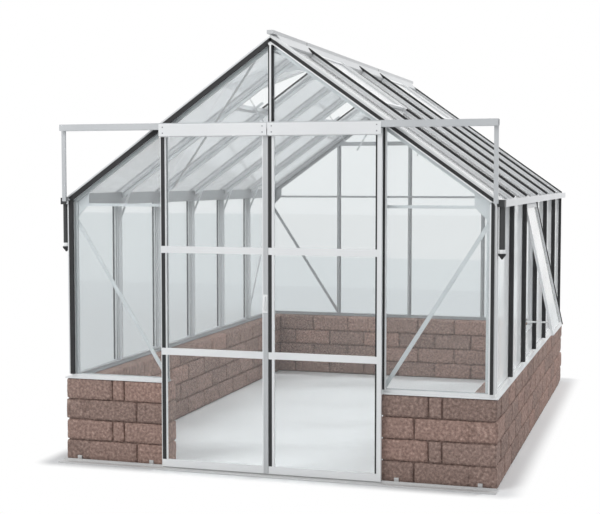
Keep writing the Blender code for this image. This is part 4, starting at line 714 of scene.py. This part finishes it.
# The rake and corner seals are square in section and wrapped over the bars, and broader on
# the left. At the apex a short piece covers the joint, and at the rear a flat one each
# covers the corner's side and the verge.
rake_seals = {1: [(-0.0175, 0.0278), (0.0028, 0.0278), (0.0028, 0.0006), (0.0035, 0.0006), (0.0035, 0.0287),
                  (-0.0175, 0.0287)],
              -1: [(-0.0275, 0.0120), (-0.0268, 0.0120), (-0.0268, 0.0278), (0.0028, 0.0278),
                   (0.0028, 0.0006), (0.0035, 0.0006), (0.0035, 0.0287), (-0.0275, 0.0287)]}
apex_seal = [(-0.0175, 0.0306), (0.0035, 0.0306), (0.0035, 0.0316), (-0.0175, 0.0316)]
verge_seal = [(-0.0452, 0.0100), (-0.0400, 0.0100), (-0.0400, 0.0229), (-0.0452, 0.0229)]
edge_seal = [(-0.0445, 0.0006), (-0.0095, 0.0006), (-0.0095, 0.0225), (-0.0445, 0.0225)]
corner_top = eave_height - 0.018
edge_top = gutter_bottom - 0.001
rake_foot = slope + 0.003
rake_top = 0.034
verge_top = 0.04
apex_length = 0.060
for end, word in ((-1, "front"), (1, "rear")):
    for side, side_word in sides:
        way = side * end
        y = end * half_length
        x = side * half_width
        face_runs = [((x, y, bar_foot), (x, y, corner_top), (0, end, 0)),
                     (roof_point(side, y, rake_foot), roof_point(side, y, rake_top), (0, end, 0))]
        lay_lengths("%s_gable_seal_%s" % (word, side_word),
                    length_mesh("rake_seal", flipped(rake_seals[side], way)), face_runs, rubber)
        lay_lengths("%s_apex_seal_%s" % (word, side_word), length_mesh("apex_seal", flipped(apex_seal, way)),
                    [(roof_point(side, y, apex_length), roof_point(side, y, 0), (0, end, 0))], rubber)
        if end > 0:
            lay_lengths("rear_edge_seal_" + side_word, length_mesh("edge_seal", flipped(edge_seal, -way)),
                        [((x, y, bar_foot), (x, y, edge_top), (side, 0, 0))], rubber)
            lay_lengths("rear_verge_seal_" + side_word, length_mesh("verge_seal", flipped(verge_seal, -way)),
                        [(roof_point(side, y, eave_end), roof_point(side, y, verge_top), slope_out(side))],
                        rubber)

# The rib seals end in a flat black shoe that bridges the ridge flank
shoe_outline = [(-0.0178, 0.0110), (0.0178, 0.0110), (0.0178, 0.0222), (0.0125, 0.0314),
                (-0.0125, 0.0314), (-0.0178, 0.0222)]
shoe_top = 0.026
shoe_end = seal_start - 0.0002
shoe_runs = [(roof_point(side, y, shoe_top), roof_point(side, y, shoe_end), slope_out(side))
             for number, side, y in rib_ends if (number, side) not in bare_ends]
lay_lengths("rib_shoes", length_mesh("shoe", shoe_outline), shoe_runs, rubber)

# Door gaskets. Black strips pressed in beside the panes, between one rail and the next:
# on the outer stile of each leaf and over the meeting stile of the right one.
leaf_front = -half_length - 0.080
leaf_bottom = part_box("door_frame_left")[0][2]
gasket_lift = 0.0009
gasket_back = leaf_front - 0.0002
gasket_end = 0.001
gasket_rounding = 0.0003
pane_spans = [(leaf_bottom + low, leaf_bottom + high)
              for low, high in ((0.050, 0.776), (0.822, 1.476), (1.522, 2.263))]
for word, near_x, far_x in (("left", -0.768, -0.740), ("right", 0.7325, 0.7430), ("meeting", 0.0012, 0.0250)):
    strips = bmesh.new()
    for low, high in pane_spans:
        add_box(strips, Vector((near_x, gasket_back - gasket_lift, low + gasket_end)),
                Vector((far_x, gasket_back, high - gasket_end)))
    bmesh.ops.bevel(strips, geom=strips.edges[:], offset=gasket_rounding, segments=1, affect="EDGES")
    show("door_gasket_" + word, finished_mesh("door_gasket_" + word, strips, rubber),
         "door_left" if word == "left" else "door_right")

# Lock profile. A grooved cover strip down the closing stile of the left leaf, in two
# lengths, above and below the handle.
# The strip's grey, darker than the leaf, is painted shade down the closing stile
lock_painted_shade = (0.55, 0.555, 0.56)
lock_metal = satin_metal("lock_aluminium", lock_painted_shade, lock_painted_shade, 0.38, 0.20, lines_z)
lock_section = [(-0.0165, 0.0002), (0.0165, 0.0002), (0.0165, 0.0012), (0.0060, 0.0012), (0.0050, 0.0006),
                (0.0030, 0.0006), (0.0020, 0.0012), (-0.0165, 0.0012)]
lock_middle = -0.0176
lock_spans = ((leaf_bottom + 0.002, 1.0985), (1.2215, 2.2765))
lay_lengths("lock_profile", length_mesh("lock_section", lock_section),
            [((lock_middle, leaf_front, low), (lock_middle, leaf_front, high), (0, -1, 0))
             for low, high in lock_spans], lock_metal, "door_left")

# Glass. Clear panes in the walls, gables and doors, and panes with a fine rolled pattern
# in the roof. Light passes through both, and the pattern shows as a pale speckle. The
# panes of the right wall and of the side light let less light through and show more of a
# pale face: painted reflection, as of panes seen at a flat angle.


def pane_glass(name, tint, roughness, ior, clearness, haze, coat=1.0):
    """Glass with a thin coat over it, which lets light through to what it shades."""
    material, tree, shader = new_material(
        name, {"Base Color": tint + (1.0,), "Roughness": roughness, "IOR": ior,
               "Transmission Weight": clearness, "Coat Weight": coat, "Coat Roughness": haze,
               "Coat IOR": 1.5})
    clear = node_out(tree, "ShaderNodeBsdfTransparent", {"Color": (0.88, 0.90, 0.91, 1.0)})
    shadow = new_node(tree, "ShaderNodeLightPath").outputs["Is Shadow Ray"]
    mixed = node_out(tree, "ShaderNodeMixShader", {0: shadow, 1: shader.outputs[0], 2: clear})
    set_sockets(tree, tree.nodes["Material Output"], {"Surface": mixed})
    return material


clear_glass = pane_glass("clear_glass", (0.90, 0.92, 0.925), 0.0, 1.03, 1.0, 0.34)
# Less clear, with a pale face: painted reflection of panes at a flat angle
side_glass = pane_glass("side_glass", (0.96, 0.965, 0.965), 0.0, 1.03, 0.62, 0.05, 0.12)
window_pane = pane_glass("window_glass", (0.92, 0.935, 0.94), 0.0, 1.30, 0.80, 0.12)
rolled_glass = pane_glass("rolled_glass", (0.965, 0.975, 0.985), 0.04, 1.04, 0.72, 0.12)
rolled_tree = rolled_glass.node_tree
add_bump(rolled_tree, rolled_tree.nodes["Principled BSDF"],
         grain_outputs(rolled_tree, 170.0, 45.0, 0.42, 0.62)["Fine"], 0.15, 0.0012)
finish_nodes(clear_glass, "wall_glass_left", "front_gable_glass", "rear_gable_glass",
             "door_glass_left", "door_glass_right")
finish_nodes(side_glass, "wall_glass_right")
finish_nodes(window_pane, "window_glass")
finish_nodes(rolled_glass, "roof_glass_left", "roof_glass_right", *[vent + "_glass" for vent in vents])

# Downpipes. Charcoal plastic tubes from the gutter outlets, each with a white collar and
# a black cone at its foot.
charcoal = grained_material("charcoal_plastic", (700.0, 6.0),
                            [(0.2, 0.032, 0.032, 0.033), (0.8, 0.052, 0.052, 0.053)], (0.32, 0.52))
white_plastic = grained_material("white_plastic", (500.0, 8.0),
                                 [(0.2, 0.86, 0.86, 0.855), (0.8, 0.92, 0.92, 0.915)], (0.28, 0.42))
finish_nodes(charcoal, "downpipe_left", "downpipe_right")
pipe_x = 1.5370
pipe_y = -2.2196
collar_foot = 1.5156
collar_height = 0.0262


def turned_piece(name, profile, centre, material):
    """A closed profile of (radius, height over the collar's foot) spun round an upright axis."""
    steps = 40
    work = bmesh.new()
    rings = []
    for step in range(steps):
        angle = 2 * math.pi * step / steps
        x, y = math.cos(angle), math.sin(angle)
        rings.append([work.verts.new((centre[0] + radius * x, centre[1] + radius * y, collar_foot + height))
                      for radius, height in profile])
    for first, second in zip(rings, rings[1:] + rings[:1]):
        band(work, first, second)
    mesh = finished_mesh(name, work, material)
    mesh.shade_smooth()
    mesh.set_sharp_from_angle(angle=math.radians(40))
    show(name, mesh)


collar_profile = [(0.0168, 0.0), (0.0192, 0.0), (0.0200, 0.002), (0.0200, collar_height - 0.0016),
                  (0.0192, collar_height), (0.0168, collar_height)]
cone_profile = [(0.0243, -0.0004), (0.0252, -0.002), (0.0252, -0.0085), (0.0242, -0.0105), (0.0090, -0.0285),
                (0.0060, -0.0359), (0.0044, -0.0356), (0.0084, -0.0278), (0.0243, -0.0090)]
for side, word in sides:
    centre = (side * pipe_x, pipe_y + house_y)
    turned_piece("pipe_collar_" + word, collar_profile, centre, white_plastic)
    turned_piece("pipe_cone_" + word, cone_profile, centre, rubber)

# Fittings of the doors. A white moulded handle stands on the closing stile of the left
# leaf, and each leaf hangs from two nylon rollers in the track.
finish_nodes(white_plastic, "door_handle", "roller_left_left", "roller_left_right", "roller_right_left",
             "roller_right_right")

# Door head plates. A folded cover hangs from the top of each leaf in front of the track
# and turns back under it to the leaf, held by two screws at each end.
plate_front = -half_length - 0.1065
plate_back = plate_front + 0.0020
plate_top = 2.3600
plate_fold = 2.3190
fold_foot = 2.2780
fold_back = leaf_front - 0.0006
rounding = 0.002
top_bevel = 0.0008
plate_start = 0.0030
leaf_width = 0.772
plate_end = leaf_width + 0.0005
plate_outline = [(plate_front, fold_foot + rounding), (plate_front, plate_top - rounding),
                 (plate_front + top_bevel, plate_top), (plate_back, plate_top), (plate_back, plate_fold),
                 (fold_back, plate_fold), (fold_back, fold_foot), (plate_front + rounding, fold_foot)]
for side, word in sides:
    cover = bmesh.new()
    draw_out(cover, *[[(x, y + house_y, z) for y, z in plate_outline]
                      for x in sorted((side * plate_start, side * plate_end))])
    show("door_cover_" + word, finished_mesh("door_cover_" + word, cover, leaf_metal), "door_" + word)

# Screws. Small steel pan heads hold each door head plate, two above each other near both
# of its ends.
head_radius = 0.0042
head_height = 0.0022
head_shape = ((1.0, 0.0), (1.0, 0.45), (0.72, 0.85), (0.30, 1.0))
head_sides = 12
head_x = (0.032, leaf_width - 0.028)
head_z = (2.300, 2.340)
head_back = plate_front - 0.0002
screw_steel = grained_material("screw_steel", (900.0, 60.0),
                               [(0.2, 0.20, 0.20, 0.21), (0.8, 0.34, 0.34, 0.35)], (0.28, 0.45), "Fine",
                               {"Metallic": 0.9})
screw_work = bmesh.new()
draw_out(screw_work, *[[(head_radius * wide * math.cos(2 * math.pi * step / head_sides),
                         head_radius * wide * math.sin(2 * math.pi * step / head_sides), high)
                        for step in range(head_sides)] for wide, high in head_shape])
screw_mesh = finished_mesh("screw", screw_work)
screw_mesh.shade_smooth()
for side, word in sides:
    screw_runs = [((side * x, head_back, z), (side * x, head_back - head_height, z), (0, 0, 1))
                  for x in head_x for z in head_z]
    lay_lengths("cover_screws_" + word, screw_mesh, screw_runs, screw_steel, "door_" + word)

# Ridge joints. A short black strip closes the joint of the ridge cap over two of the ribs,
# on both of its flanks.
ridge_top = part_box("ridge")[1][2]
ridge_half = 0.022
joint_foot = ridge_top - 0.036
joint_head = ridge_top - 0.006
joint_strip = [(-0.0026, 0.0001), (0.0026, 0.0001), (0.0022, 0.0012), (-0.0022, 0.0012)]
for side, word in sides:
    joint_runs = [((side * ridge_half, (number - 3) * bay, joint_foot),
                   (side * ridge_half, (number - 3) * bay, joint_head), (side, 0, 0)) for number in (1, 4)]
    lay_lengths("ridge_joints_" + word, length_mesh("joint_strip", joint_strip), joint_runs, rubber)

# Window trim. A black strip stands on the outer face of the side light, down its far
# edge, and turns with it.
window_tilt = 0.2182
window_length = 1.0035
strip_start = 0.012
strip_end = window_length - 0.004
window_y = -bay / 2
window_half = bay / 2 - cap_half - 0.004
strip_y = window_y + window_half - 0.0045
window_hinge = Vector((half_width + 0.013, strip_y, 1.7985))
window_down = Vector((math.sin(window_tilt), 0.0, -math.cos(window_tilt)))
window_out = Vector((math.cos(window_tilt), 0.0, math.sin(window_tilt)))
edge_strip = [(-0.0035, 0.0092), (0.0035, 0.0092), (0.0035, 0.0160), (-0.0035, 0.0160)]
lay_lengths("window_strips", length_mesh("edge_strip", edge_strip),
            [(window_hinge + window_down * strip_start, window_hinge + window_down * strip_end, window_out)],
            rubber, "window_light")
